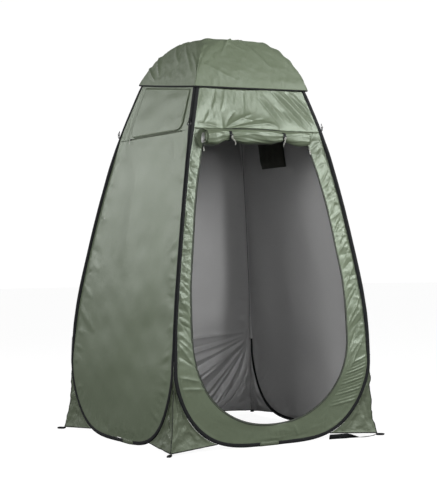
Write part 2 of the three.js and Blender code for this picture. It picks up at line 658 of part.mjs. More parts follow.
// ---- Side window --------------------------------------------------------------------------
// Built on the front wall's surface and turned onto the left wall, where +u is forwards.
const WINDOW_SIDE = 3;
const FLAP_MIDDLE = 25;
const FLAP_BOTTOM = 1447;
const flapHalf = (z) => 262 - 0.13 * (z - FLAP_BOTTOM);
const FLAP_LIFT = FABRIC + 0.5;
const leftHem = (u) => (CAP_HEM[3] + CAP_HEM[2]) / 2 + ((CAP_HEM[3] - CAP_HEM[2]) / 2) * (u / 300);
const flapTop = (u) => leftHem(u) - HEM_HEIGHT - 5;
const flapRows = [0, 0.09, 0.2, 0.45, 0.7, 1].map((share, row) => {
  const pull = row === 0 ? 26 : (row === 1 ? 7 : 0); // rounded lower corners
  return [-1, -0.5, 0, 0.5, 1].map((across) => {
    const guess = FLAP_BOTTOM + share * 190;
    const u = FLAP_MIDDLE + across * (flapHalf(guess) - pull);
    return onWall(u, FLAP_BOTTOM + share * (flapTop(u) - FLAP_BOTTOM), FLAP_LIFT);
  });
});
add('window_flap', sheetOfRows(flapRows), COLOUR.shell, WINDOW_SIDE);

const meshRows = [WINDOW_LOW, WINDOW_LOW + 1, WINDOW_HIGH].map((k, row) => {
  const z = mouthPoint(k).z + [-12, 0, 12][row];
  const half = wallReach(z) * (WINDOW_SHARE + 0.04);
  return [-half, half].map((u) => onWall(u, z, -FABRIC - GAP));
});
add('window_mesh', sheetOfRows(meshRows, MESH_THICKNESS), COLOUR.mesh, WINDOW_SIDE);

const zipRow = (z) => [-1, 1].map((side) => onWall(
  FLAP_MIDDLE + side * flapHalf(FLAP_BOTTOM), z, FABRIC / 2 + GAP + TAPE_THICKNESS / 2,
));
const ZIP_LOW = 1436;
const ZIP_HIGH = 1442.5;
add('window_zip', sheetOfRows([zipRow(ZIP_LOW), zipRow(ZIP_HIGH)], TAPE_THICKNESS),
  COLOUR.binding, WINDOW_SIDE);
const zipMiddle = (ZIP_LOW + ZIP_HIGH) / 2;
const windowNormal = wallNormal(zipMiddle);
sliderAt('window', onWall(FLAP_MIDDLE - flapHalf(FLAP_BOTTOM) + 14, zipMiddle, FABRIC / 2 + GAP),
  v3(1, 0, 0), windowNormal, WINDOW_SIDE);

// ---- Pocket and storage strap -------------------------------------------------------------
// Pocket on the inside of the right wall, built on the front wall and turned. Its sides and
// bottom are sewn to the wall and its top is open.
const POCKET = { low: 1308, high: 1462, from: -20, to: 200, depth: 20, corner: 8 };
const pocketRows = [POCKET.low, POCKET.low + POCKET.corner, POCKET.high].map((z, row) => {
  const sewn = -FABRIC - GAP;
  const full = row === 0 ? sewn : sewn - POCKET.depth;
  return [
    onWall(POCKET.from, z, sewn), onWall(POCKET.from + POCKET.corner, z, full),
    onWall(POCKET.to - POCKET.corner, z, full), onWall(POCKET.to, z, sewn),
  ];
});
add('storage_pocket', sheetOfRows(pocketRows), COLOUR.binding, 1, 0.9);

// Webbing strap that holds the folded tent; it lies on the ground from the front-right peg
// loop to under the front wall, where its end stands on edge.
const STRAP_THICKNESS = 2;
const STRAP_ROUTE = [ // x, y, height of the strap's middle, half of its upright height
  [543, -570, 7, 6], [515, -575, 4, 3], [480, -576, 2.2, 1.2], [440, -575, 3, 2],
  [410, -570, 8, 7], [380, -564, 12.6, 11.8], [330, -552, 12.6, 11.8], [292, -545, 12.6, 11.8],
];
const strapRows = STRAP_ROUTE.map(([x, y, z, half]) => {
  const lean = Math.sqrt(Math.max(12.5 ** 2 - half ** 2, 0));
  return [v3(x, y + lean, z - half), v3(x, y - lean, z + half)];
});
add('storage_strap', sheetOfRows(strapRows, STRAP_THICKNESS), COLOUR.binding, 0, 0.9);

export default object;
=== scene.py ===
"""Looks of the pop-up privacy tent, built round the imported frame.

Metres, +Z up, the door faces -Y. Every wall's pieces are made as the front wall's and turned by
quarter turns: front, right, back, left are 0 to 3. In a wall's own terms u runs to the right as
seen from outside and z is height.
"""
import math

import bpy
import numpy as np
from mathutils import Matrix, Vector


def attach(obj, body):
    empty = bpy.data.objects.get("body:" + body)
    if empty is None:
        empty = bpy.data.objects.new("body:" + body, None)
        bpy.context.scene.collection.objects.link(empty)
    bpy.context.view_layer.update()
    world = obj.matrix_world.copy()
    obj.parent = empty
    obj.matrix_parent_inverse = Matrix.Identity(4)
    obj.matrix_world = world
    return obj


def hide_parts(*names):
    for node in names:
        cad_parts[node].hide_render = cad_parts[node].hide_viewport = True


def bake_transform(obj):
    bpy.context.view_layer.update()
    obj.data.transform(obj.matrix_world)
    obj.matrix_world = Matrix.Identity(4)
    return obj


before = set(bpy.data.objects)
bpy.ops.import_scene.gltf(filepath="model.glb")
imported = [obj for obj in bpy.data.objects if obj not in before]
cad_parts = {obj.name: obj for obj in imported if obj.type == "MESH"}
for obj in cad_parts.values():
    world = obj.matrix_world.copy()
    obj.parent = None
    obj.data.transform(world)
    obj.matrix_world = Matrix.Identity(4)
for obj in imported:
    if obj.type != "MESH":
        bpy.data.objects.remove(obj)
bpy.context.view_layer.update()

# ---- Shape of the tent, as in the CAD source ------------------------------------------------
MM = 0.001
WALL_PROFILE = MM * np.array([
    [0, 529], [300, 535], [600, 518], [900, 474], [1200, 419], [1450, 363], [1660, 300],
    [1725, 279], [1764, 263], [1804, 245], [1843, 222], [1883, 190], [1910, 160]])
DOOR_PROFILE = MM * np.array([
    [500, 422], [626, 421], [749, 414], [873, 396], [1060, 368], [1175, 345], [1290, 317],
    [1375, 291], [1445, 270]])
GROUND_CLEAR, BEND_HEIGHT, SHOULDER, APEX, SEAM_HEIGHT = 0.0075, 0.352, 1.600, 1.8805, 1.445
BEND_ACROSS, BEND_UP, TOP_POWER = 3.908, 1.463, 3  # powers of the loop's low and top bends
FIN_TURNS, FIN_RETURNS = (0.335, 0.570), (1.300, 1.480)  # heights where the corner fins turn
DOOR_SHIFT, DOOR_SILL, DOOR_MIDDLE, DOOR_ROUNDNESS = -0.014, 0.092, 0.500, 2.15
CAP_HEM = [1.654, 1.700, 1.719, 1.646]  # front-right, back-right, back-left, front-left
CAP_TOP, CAP_CLEAR = 1.900, 0.009
WALLS = ["front", "right", "back", "left"]
CORNERS = ["front_right", "back_right", "back_left", "front_left"]
PATCH_CENTRE = {"front": -0.032, "right": -0.060, "back": -0.040, "left": 0.100}
EDGE_OUT, MOUTH_OUT = -0.0037, -0.0125
CLOTH = 0.0008
LOOP_STEPS = 600


def read_curve(knots, at):
    """A smooth curve through knots (x, y), level past both ends."""
    x, y = knots[:, 0], knots[:, 1]
    at = np.clip(np.asarray(at, float), x[0], x[-1])
    k = np.arange(len(x))
    lo, hi = np.maximum(k - 1, 0), np.minimum(k + 1, len(x) - 1)
    slope = (y[hi] - y[lo]) / (x[hi] - x[lo])
    i = np.clip(np.searchsorted(x, at, side="left") - 1, 0, len(x) - 2)
    span = x[i + 1] - x[i]
    t = (at - x[i]) / span
    return ((1 + 2 * t) * (1 - t) ** 2 * y[i] + t * (1 - t) ** 2 * span * slope[i]
            + t * t * (3 - 2 * t) * y[i + 1] + t * t * (t - 1) * span * slope[i + 1])


def half_width(z):
    """Half the tent's width at a height."""
    return read_curve(WALL_PROFILE, z)


def step(start, end, at):
    """A smooth rise from 0 at start to 1 at end; start may be the larger."""
    t = np.clip((np.asarray(at, float) - start) / (end - start), 0, 1)
    return t * t * (3 - 2 * t)


def fin_turn(z):
    """How far two neighbouring bindings turn towards their corner."""
    return math.pi / 4 * step(*FIN_TURNS, z) * (1 - step(*FIN_RETURNS, z))


def corner_inset(z):
    """How far a loop's wire stays inside the corner."""
    return 0.009 - 0.0023 * fin_turn(z) / (math.pi / 4)


def unit(v):
    """Vectors scaled to a length of 1."""
    return v / np.maximum(np.linalg.norm(v, axis=-1, keepdims=True), 1e-12)


def wall_normal(z):
    """The front wall's outward direction at a height."""
    z = np.asarray(z, float)
    slope = (half_width(z + 0.002) - half_width(z - 0.002)) / 0.004
    return unit(np.stack([0 * z, -1 + 0 * z, -slope], -1))


def bottom_bend(f):
    """Height of the loop's low bend at a share of its half width."""
    return GROUND_CLEAR + (BEND_HEIGHT - GROUND_CLEAR) * (1 - (1 - f ** BEND_ACROSS) ** (1 / BEND_UP))


def top_bend(f):
    """Height of the loop's top at a share of its half width."""
    return SHOULDER + (APEX - SHOULDER) * (1 - f ** TOP_POWER) ** (1 / TOP_POWER)


def run_along(points):
    """Distance along a line at each of its points."""
    return np.concatenate([[0], np.cumsum(np.linalg.norm(np.diff(points, axis=0), axis=1))])


def ring_ahead(points):
    """Directions along a closed line."""
    return unit(np.roll(points, -1, 0) - np.roll(points, 1, 0))


def resample(points, count, closed=False):
    """Evenly spaced points along a polyline, and their distance along it."""
    if closed:
        points = np.vstack([points, points[:1]])
    along = run_along(points)
    at = np.linspace(0, along[-1], count + 1)[:-1] if closed else np.linspace(0, along[-1], count)
    return np.stack([np.interp(at, along, points[:, i]) for i in range(3)], -1), at


def make_loop():
    """The wire line of the front loop: ground middle, right side, top, left side."""
    low = np.linspace(0, 0.88, 70)
    bend_z = np.linspace(bottom_bend(0.88), BEND_HEIGHT, 90)[1:]
    bend_up = 1 - (bend_z - GROUND_CLEAR) / (BEND_HEIGHT - GROUND_CLEAR)
    bend_f = (1 - bend_up ** BEND_UP) ** (1 / BEND_ACROSS)
    side = np.linspace(BEND_HEIGHT, SHOULDER, 160)[1:]
    round_z = np.linspace(SHOULDER, top_bend(0.9), 60)[1:]
    round_f = (1 - ((round_z - SHOULDER) / (APEX - SHOULDER)) ** TOP_POWER) ** (1 / TOP_POWER)
    top = np.linspace(0.9, 0, 60)[1:]
    z = np.concatenate([bottom_bend(low), bend_z, side, round_z, top_bend(top)])
    f = np.concatenate([low, bend_f, 1 + 0 * side, round_f, top])
    right = np.stack([f * (half_width(z) - corner_inset(z)), -half_width(z), z], -1)
    left = right[-2:0:-1] * [-1, 1, 1]
    points, at = resample(np.vstack([right, left]), LOOP_STEPS, closed=True)
    along = ring_ahead(points)
    normal = wall_normal(points[:, 2])
    normal = unit(normal - along * (normal * along).sum(-1, keepdims=True))
    flat_out = np.cross(along, normal)
    turn = fin_turn(points[:, 2])[:, None]
    out = flat_out * np.cos(turn) + normal * np.sin(turn)
    face = normal * np.cos(turn) - flat_out * np.sin(turn)
    return {"at": points, "along": along, "normal": normal, "flat_out": flat_out, "out": out,
            "face": face, "s": at, "length": at[1] * LOOP_STEPS}


LOOP = make_loop()
HALF = LOOP_STEPS // 2
MOUTH = LOOP["at"] + LOOP["out"] * MOUTH_OUT
EDGE = LOOP["at"] + LOOP["out"] * EDGE_OUT
EDGE_LINE = MOUTH[:, [0, 2]]  # edge of a wall's cloth, as (u, z)
RISING = slice(5, HALF)  # right half, where height rises steadily


def wall_depth(z):
    """How far the cloth stands from the tent's middle at a height."""
    return np.interp(z, MOUTH[RISING, 2], -MOUTH[RISING, 1])


def wall_reach(z):
    """Half width of a wall's cloth at a height."""
    return np.interp(z, MOUTH[RISING, 2], MOUTH[RISING, 0])


def on_wall(u, z, lift=0.0):
    """Points of the front wall's plain cloth, lifted straight outwards."""
    u, z = np.broadcast_arrays(np.asarray(u, float), np.asarray(z, float))
    return np.stack([u, -wall_depth(z) - lift, z], -1)


def turned(points, quarter):
    """The front wall's points taken to another wall or corner."""
    a = quarter * math.pi / 2
    c, s = round(math.cos(a)), round(math.sin(a))
    return points @ np.array([[c, s, 0], [-s, c, 0], [0, 0, 1]], float)


# ---- Meshes -----------------------------------------------------------------------------------
LEAN, LEAN_LEVEL = np.array([0.021, -0.011]), 0.008


def leaned(points):
    """The tent stands slightly out of true: higher points lie further right and forwards."""
    points = np.array(points, float)
    points[..., :2] += LEAN * (points[..., 2:] - LEAN_LEVEL)
    return points


def grid_quads(rows, columns, closed=False):
    """Squares between neighbouring points of a grid, by point number."""
    r, c = np.meshgrid(np.arange(rows - 1), np.arange(columns if closed else columns - 1),
                       indexing="ij")
    n = (c + 1) % columns
    return np.stack([r * columns + c, r * columns + n, (r + 1) * columns + n,
                     (r + 1) * columns + c], -1).reshape(-1, 4)


def volume(points, faces):
    """Six times the enclosed volume; negative where the faces point inwards."""
    total = 0.0
    for face in faces:
        p = points[list(face)]
        for i in range(1, len(p) - 1):
            total += float(np.dot(p[0], np.cross(p[i], p[i + 1])))
    return total


def new_piece(name, points, faces, materials, uv=None, face_material=None, body="tent",
              slot=None, replaces=()):
    """A mesh object that rides on a body."""
    mesh = bpy.data.meshes.new(name)
    mesh.from_pydata(leaned(points).tolist(), [], [list(map(int, f)) for f in faces])
    for m in materials:
        mesh.materials.append(m)
    if face_material is not None:
        mesh.polygons.foreach_set("material_index", np.asarray(face_material, np.int32))
    mesh.polygons.foreach_set("use_smooth", np.full(len(mesh.polygons), True))
    if uv is not None:
        index = np.zeros(len(mesh.loops), np.int32)
        mesh.loops.foreach_get("vertex_index", index)
        layer = mesh.uv_layers.new(name="flat")
        layer.data.foreach_set("uv", np.asarray(uv, np.float32)[index].ravel())
    mesh.validate()
    mesh.update()
    piece = bpy.data.objects.new(name, mesh)
    bpy.context.scene.collection.objects.link(piece)
    if body:
        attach(piece, body)
    if replaces:
        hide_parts(*replaces)
    return piece


def cloth(name, points, quads, materials, uv, thickness=CLOTH, **more):
    """A closed thin sheet: faces outside take the first material, inside the second."""
    a, b, c, d = (points[quads[:, i]] for i in range(4))
    n = np.cross(c - a, d - b)
    normal = np.zeros_like(points)
    for i in range(4):
        np.add.at(normal, quads[:, i], n)
    normal = unit(normal)
    count = len(points)
    both = np.vstack([points + normal * thickness / 2, points - normal * thickness / 2])
    ends = np.concatenate([quads[:, [i, (i + 1) % 4]] for i in range(4)])
    key = ends[:, 0] * count + ends[:, 1]
    back = ends[:, 1] * count + ends[:, 0]
    rim = ends[~np.isin(key, back)]
    faces = np.vstack([quads, quads[:, ::-1] + count,
                       np.stack([rim[:, 1], rim[:, 0], rim[:, 0] + count, rim[:, 1] + count], -1)])
    which = np.concatenate([np.zeros(len(quads)), np.full(len(quads), len(materials) > 1),
                            np.zeros(len(rim))])
    return new_piece(name, both, faces, materials, np.vstack([uv, uv]), which, **more)


def cloth_grid(name, grid, materials, uv=None, keep=None, closed=False, **more):
    """A cloth sheet from rows of points; uv is its unrolled place, keep its kept squares."""
    rows, columns = grid.shape[:2]
    if uv is None:
        du = np.linalg.norm(np.diff(grid, axis=1), axis=2)
        across = np.concatenate([np.zeros((rows, 1)), np.cumsum(du, 1)], 1)
        across -= across.mean(1, keepdims=True)
        dv = np.linalg.norm(np.diff(grid, axis=0), axis=2).mean(1)
        up = np.concatenate([[0], np.cumsum(dv)])
        uv = np.stack([across, np.repeat(up[:, None], columns, 1)], -1)
    quads = grid_quads(rows, columns, closed)
    if keep is not None:
        quads = quads[keep.reshape(-1)]
    return cloth(name, grid.reshape(-1, 3), quads, materials, uv.reshape(-1, 2), **more)


def three_sides(grid):
    """Points down a grid's first column, along its first row and up its last column."""
    return np.concatenate([grid[::-1, 0], grid[0, 1:-1], grid[:, -1]])


def lofted(name, rings, materials, uv, closed=False, **more):
    """A solid through rings of points; open ends are capped and faces point outwards."""
    n, m = rings.shape[:2]
    points = rings.reshape(-1, 3)
    faces = (grid_quads(n + 1, m, True) % (n * m) if closed else grid_quads(n, m, True)).tolist()
    if not closed:
        faces += [list(range(m))[::-1], list(range((n - 1) * m, n * m))]
    if volume(points, faces) < 0:
        faces = [f[::-1] for f in faces]
    return new_piece(name, points, faces, materials, uv, **more)


def swept(name, at, out, face, section, materials, closed=False, scale=None, **more):
    """A solid section swept along points; the section is pairs of out and face distances."""
    section = np.asarray(section, float)
    grow = np.ones(len(at)) if scale is None else np.asarray(scale, float)
    sec = section[None] * grow[:, None, None]
    rings = at[:, None] + out[:, None] * sec[..., :1] + face[:, None] * sec[..., 1:]
    uv = np.stack(np.meshgrid(run_along(at), run_along(section), indexing="ij"), -1).reshape(-1, 2)
    return lofted(name, rings, materials, uv, closed, **more)


def band(thick, flat, inner, wide):
    """A strap's section from half sizes in millimetres; its edges are bevelled."""
    return MM * np.array([[-thick, -flat], [-thick, flat], [-inner, wide], [inner, wide],
                          [thick, flat], [thick, -flat], [inner, -wide], [-inner, -wide]])


def both_faces(points):
    """A section whose two faces are alike, from one face in millimetres."""
    return MM * np.array(points + [[x, -y] for x, y in points[::-1]])


def tube(name, path, radius, materials, sides=10, closed=False, scale=None, **more):
    """A round solid along a path; its section doesn't twist."""
    path = np.asarray(path, float)
    along = ring_ahead(path) if closed else unit(np.gradient(path, axis=0))
    start = np.array([0, 0, 1.0]) if abs(along[0][2]) < 0.8 else np.array([1.0, 0, 0])
    outs = []
    for t in along:
        start = start - t * np.dot(start, t)
        start /= np.linalg.norm(start)
        outs.append(start)
    out = np.array(outs)
    turn = np.linspace(0, 2 * math.pi, sides, endpoint=False)
    ring = radius * np.stack([np.cos(turn), np.sin(turn)], -1)
    return swept(name, path, out, np.cross(along, out), ring, materials, closed, scale, **more)


def smooth_path(points, count):
    """A smooth line through points (Catmull-Rom), evenly spaced."""
    p = np.asarray(points, float)
    p = np.vstack([2 * p[0] - p[1], p, 2 * p[-1] - p[-2]])
    t = np.linspace(0, 1, 16, endpoint=False)[:, None]
    parts = []
    for i in range(1, len(p) - 2):
        a, b, c, d = p[i - 1:i + 3]
        parts.append(0.5 * (2 * b + (c - a) * t + (2 * a - 5 * b + 4 * c - d) * t ** 2
                            + (3 * b - a - 3 * c + d) * t ** 3))
    line = np.vstack(parts + [p[-2:-1]])
    if line.shape[1] == 3:
        return resample(line, count)[0]
    pick = np.linspace(0, len(line) - 1, count)
    return np.stack([np.interp(pick, np.arange(len(line)), line[:, i])
                     for i in range(line.shape[1])], -1)


# ---- Folds ------------------------------------------------------------------------------------
def waves(u, z, seed, size, height, count=6, stretch=1.0):
    """Soft uneven undulation: a sum of slanted waves about size metres long."""
    rng = np.random.default_rng(seed)
    total = 0 * u
    for _ in range(count):
        turn, shift = rng.uniform(0, math.pi), rng.uniform(0, 2 * math.pi)
        k = 2 * math.pi / (size * rng.uniform(0.7, 1.6))
        total = total + np.sin(k * (u * stretch * math.cos(turn) + z * math.sin(turn)) + shift)
    return height * total / math.sqrt(count)


def crumple(u, z, seed, size, height):
    """Faceted creases, as in crushed cloth: folded waves whose ridges are sharp."""
    rng = np.random.default_rng(seed)
    total = 0 * u
    for layer in range(3):
        scale = size * 0.62 ** layer
        for _ in range(3):
            turn, shift = rng.uniform(0, math.pi), rng.uniform(0, 2 * math.pi)
            k = math.pi / (scale * rng.uniform(0.8, 1.5))
            warp = 0.9 * np.sin(2.1 * k * (u * math.sin(turn) - z * math.cos(turn)) * 0.37 + shift)
            phase = k * (u * math.cos(turn) + z * math.sin(turn)) + shift + warp
            total = total + (0.6 - np.abs(np.sin(phase))) * 0.62 ** layer
    return height * total / 3


def crease(u, z, start, end, width, height, bow=0.0, sharp=True):
    """One fold from start to end; its height fades to nothing at both ends."""
    (u0, z0), (u1, z1) = start, end
    du, dz = u1 - u0, z1 - z0
    size = math.hypot(du, dz)
    t = ((u - u0) * du + (z - z0) * dz) / size ** 2
    off = ((z - z0) * du - (u - u0) * dz) / size - 4 * bow * t * (1 - t)
    fade = np.clip(4 * t * (1 - t), 0, 1) ** 0.6
    spread = width * (0.45 + 0.55 * fade)
    profile = (np.exp(-(np.sqrt(off ** 2 + (0.2 * spread) ** 2) - 0.2 * spread) / spread)
               if sharp else np.exp(-(off / spread) ** 2))
    return np.where((t > 0) & (t < 1), height * fade * profile, 0.0)


def from_edge(u, z, edge):
    """Distance from the nearest point of an edge line (u, z), and that point's number."""
    best = np.full(u.shape, 1e9)
    which = np.zeros(u.shape, int)
    for i, (eu, ez) in enumerate(edge):
        d = (u - eu) ** 2 + (z - ez) ** 2
        near = d < best
        best[near] = d[near]
        which[near] = i
    return np.sqrt(best), which


def puckers(dist, along, length, seed, spacing, height, reach, strength=None):
    """Small folds that start at a sewn edge and fade into the cloth."""
    rng = np.random.default_rng(seed)
    total = 0 * dist
    at = rng.uniform(0, spacing)
    while at < length:
        width = spacing * rng.uniform(0.16, 0.42)
        size = height * rng.uniform(0.35, 1.0) * rng.choice([-1, 1, 1])
        run = reach * rng.uniform(0.4, 1.3)
        lean = rng.uniform(-0.5, 0.5)
        x = np.clip(dist / run, 0, 1)
        gap = (along - at - lean * dist + length / 2) % length - length / 2
        shape = np.exp(-(gap / (width * (1 + 0.8 * x))) ** 2)
        here = 1.0 if strength is None else strength(at)
        total = total + here * size * shape * np.sqrt(x) * (1 - x) ** 2 * 2.2
        at += spacing * rng.uniform(0.5, 1.5)
    return total


# ---- Materials --------------------------------------------------------------------------------
def add(tree, kind, inputs=None, **settings):
    """A new shader node, with its inputs linked or set."""
    n = tree.nodes.new("ShaderNode" + kind)
    for key, value in settings.items():
        setattr(n, key, value)
    for key, value in (inputs or {}).items():
        if isinstance(value, bpy.types.NodeSocket):
            tree.links.new(value, n.inputs[key])
        else:
            n.inputs[key].default_value = value
    return n


def lines(tree, source, period, direction="X"):
    """Parallel ridges that repeat every period metres."""
    return add(tree, "TexWave", {"Vector": source, "Scale": math.pi / 10 / period},
               wave_type="BANDS", bands_direction=direction, wave_profile="SIN").outputs["Fac"]


def mix(tree, a, b, fac):
    """A colour between a and b; the numbers are the Mix node's colour sockets."""
    return add(tree, "Mix", {0: fac, 6: a, 7: b}, data_type="RGBA").outputs[2]


def rgb(r, g, b):
    """A linear colour from 0-255 display values."""
    return tuple((c / 12.92 if c <= 0.04045 else ((c + 0.055) / 1.055) ** 2.4)
                 for c in (r / 255, g / 255, b / 255)) + (1.0,)


def shade(colour, by):
    """A colour made lighter or darker."""
    return tuple(min(1.0, c * by) for c in colour[:3]) + (1.0,)


def material(name, colour, roughness=0.6, metallic=0.0, weave=0.0, weave_depth=0.2, twill=0.0,
             variation=0.12, blotch=3.0, crinkle=0.0, crinkle_size=30.0, sheen=0.0, coat=0.0,
             specular=0.5, fleck=0.0, pleats=0.0, pleat_scale=(7.0, 3.0),
             tint=(1.0, 1.0, 1.0, 1.0), pleat_depth=None, worn_over=None):
    """A procedural material. Weave and twill are thread spacings in metres, along the cloth.

    Pleats are fine sharp folds, along the cloth or, with a pleat_depth, through space. From the
    lower to the upper of the heights worn_over, the cloth turns dull.
    """
    m = bpy.data.materials.new(name)
    m.use_nodes = True
    tree = m.node_tree
    shader = tree.nodes["Principled BSDF"]
    where = add(tree, "TexCoord")
    place, flat = where.outputs["Object"], where.outputs["UV"]
    broad = add(tree, "TexNoise", {"Vector": place, "Scale": blotch, "Detail": 5.0,
                                   "Roughness": 0.6}).outputs["Fac"]
    tone = mix(tree, shade(colour, 1 - variation), shade(colour, 1 + variation), broad)
    fine = add(tree, "TexNoise", {"Vector": place, "Scale": 420.0, "Detail": 2.0}).outputs["Fac"]
    if fleck:
        spots = add(tree, "MapRange", {"Value": fine, "From Min": 0.35, "From Max": 0.7})
        tone = mix(tree, tone, shade(colour, 1 + fleck), spots.outputs["Result"])
    bumps = []
    if weave:
        threads = mix(tree, lines(tree, flat, weave), lines(tree, flat, weave, "Y"), 0.5)
        bumps.append((threads, weave_depth, weave * 0.4))
        # Painted shade: the colour darkens in the hollows between the threads, where the weave's bump is
        # low.
        tone = mix(tree, shade(colour, 0.8), tone, add(
            tree, "MapRange", {"Value": threads, "To Min": 0.72}).outputs["Result"])
    if twill:
        ribs = lines(tree, flat, twill * 1.41, "DIAGONAL")
        bumps.append((ribs, weave_depth, twill * 0.35))
        # Painted shade: the colour darkens in the grooves between the twill's ribs.
        tone = mix(tree, shade(colour, 0.55), tone, ribs)
    if crinkle:
        creased = add(tree, "TexNoise", {"Vector": place, "Scale": crinkle_size, "Detail": 4.0,
                                         "Roughness": 0.55, "Distortion": 0.6}).outputs["Fac"]
        bumps.insert(0, (creased, crinkle, 0.004))
    if pleats:
        spread = (add(tree, "Mapping", {"Vector": flat, "Scale": (*pleat_scale, 1.0)})
                  if pleat_depth is None else
                  add(tree, "Mapping", {"Vector": place, "Scale": (*pleat_scale, pleat_depth)}))
        ridges = add(tree, "TexNoise", {"Vector": spread.outputs["Vector"], "Scale": 1.0,
                                        "Detail": 4.0, "Roughness": 0.5, "Distortion": 0.5},
                     noise_type="RIDGED_MULTIFRACTAL").outputs["Fac"]
        bumps.insert(0, (ridges, pleats, 0.006))
    if not bumps:
        bumps.append((fine, 0.15, 0.0003))
    normal = None
    for height, strength, distance in bumps:
        inputs = {"Height": height, "Strength": strength, "Distance": distance}
        if normal is not None:
            inputs["Normal"] = normal
        normal = add(tree, "Bump", inputs).outputs["Normal"]
    tree.links.new(normal, shader.inputs["Normal"])
    tree.links.new(tone, shader.inputs["Base Color"])
    rough = add(tree, "MapRange", {"Value": broad, "To Min": roughness - 0.1,
                                   "To Max": roughness + 0.1}).outputs["Result"]
    if worn_over:
        height = add(tree, "SeparateXYZ", {"Vector": place}).outputs["Z"]
        worn = add(tree, "MapRange", {"Value": height, "From Min": worn_over[0],
                                      "From Max": worn_over[1], "To Max": 0.45})
        rough = add(tree, "Math", {0: rough, 1: worn.outputs["Result"]},
                    operation="ADD", use_clamp=True).outputs["Value"]
    tree.links.new(rough, shader.inputs["Roughness"])
    shader.inputs["Metallic"].default_value = metallic
    shader.inputs["Specular IOR Level"].default_value = specular
    shader.inputs["Specular Tint"].default_value = tint
    shader.inputs["Sheen Weight"].default_value = sheen
    shader.inputs["Coat Weight"].default_value = coat
    return m


OLIVE, OLIVE_GLOSS = rgb(103, 113, 93), (0.86, 0.97, 0.86, 1.0)
GREEN = material("green_shell", OLIVE, 0.42, weave=0.0012, weave_depth=0.25, variation=0.06,
                 crinkle=0.25, crinkle_size=9.0, specular=0.62, pleats=0.10, tint=OLIVE_GLOSS)
CREASED = material("green_shell_creased", OLIVE, 0.36, weave=0.0012, weave_depth=0.25,
                   variation=0.07, crinkle=0.30, crinkle_size=22.0, specular=0.65, pleats=0.35,
                   pleat_scale=(26.0, 8.0), tint=OLIVE_GLOSS)
CRINKLED = material("green_cap", OLIVE, 0.46, weave=0.0012, weave_depth=0.25, variation=0.07,
                    crinkle=0.25, crinkle_size=30.0, specular=0.38, pleats=0.50,
                    pleat_scale=(24.0, 24.0), pleat_depth=8.0, tint=OLIVE_GLOSS,
                    worn_over=(1.868, 1.892))
SILVER = material("silver_lining", rgb(190, 190, 190), 0.42, metallic=0.25, weave=0.0012,
                  variation=0.08, crinkle=0.35, crinkle_size=14.0, specular=0.5, pleats=0.10)
# A darker copy of the green shell cloth: its darker base colour is painted shade for the crushed corner
# gussets. The patches and seam beads use it too.
CRUSHED = material("green_gusset_shaded", rgb(94, 102, 84), 0.48, weave=0.0012, variation=0.1,
                   crinkle=0.8, crinkle_size=34.0, specular=0.45, pleats=0.6,
                   pleat_scale=(18.0, 18.0), tint=OLIVE_GLOSS)
TWILL = material("black_twill_tape", rgb(25, 27, 29), 0.75, twill=0.0022, weave_depth=0.6,
                 variation=0.25, blotch=9.0, specular=0.3, fleck=0.35)
WEBBING = material("black_webbing", rgb(22, 24, 26), 0.75, weave=0.0018, weave_depth=0.6,
                   variation=0.2, blotch=12.0, specular=0.3, fleck=0.3)
ZIP_TAPE = material("zip_tape", rgb(58, 64, 53), 0.7, weave=0.0014, weave_depth=0.4,
                    variation=0.2, fleck=0.25)
ZIP_TEETH = material("zip_teeth", rgb(34, 37, 34), 0.4, weave=0.0016, weave_depth=0.9,
                     variation=0.15, coat=0.1)
WINDOW_TAPE = material("window_zip_tape", rgb(80, 88, 70), 0.6, weave=0.0014, weave_depth=0.4,
                       variation=0.12)
NETTING = material("black_netting", rgb(36, 40, 38), 0.8, weave=0.0022, weave_depth=1.0,
                   variation=0.15, specular=0.2)
POCKET = material("black_pocket_cloth", rgb(56, 58, 49), 0.65, weave=0.0013, weave_depth=0.4,
                  variation=0.2, crinkle=0.3, specular=0.3)
PLASTIC = material("black_plastic", rgb(22, 24, 26), 0.38, variation=0.15, coat=0.2)
CORD = material("pale_cord", rgb(205, 206, 198), 0.75, twill=0.0016, weave_depth=0.7,
                variation=0.12, sheen=0.2, fleck=0.1)
STEEL = material("spring_steel", rgb(165, 168, 170), 0.35, metallic=0.9, variation=0.12,
                 fleck=0.2)

# ---- Bindings, wires, ferrules and patches ----------------------------------------------------
BINDING = both_faces([[-9.6, 2.6], [-8, 3.6], [-4, 3.9], [0, 4.3], [3.6, 3.9], [6.2, 2.4],
                      [7.4, 0.7]])
PATCH = BINDING * [1.12, 1.28]
ROUND = [[math.cos(a), math.sin(a)] for a in np.linspace(0, 2 * math.pi, 12, endpoint=False)]


def loop_part(low, high):
    """Frames of the loop between two distances along it from the ground's middle."""
    at = np.linspace(low, high, max(6, int((high - low) / 0.008)))
    s = np.append(LOOP["s"], LOOP["length"])
    pick = {}
    for key in ("at", "out", "face"):
        ring = np.vstack([LOOP[key], LOOP[key][:1]])
        pick[key] = np.stack([np.interp(at % LOOP["length"], s, ring[:, i]) for i in range(3)], -1)
    return pick


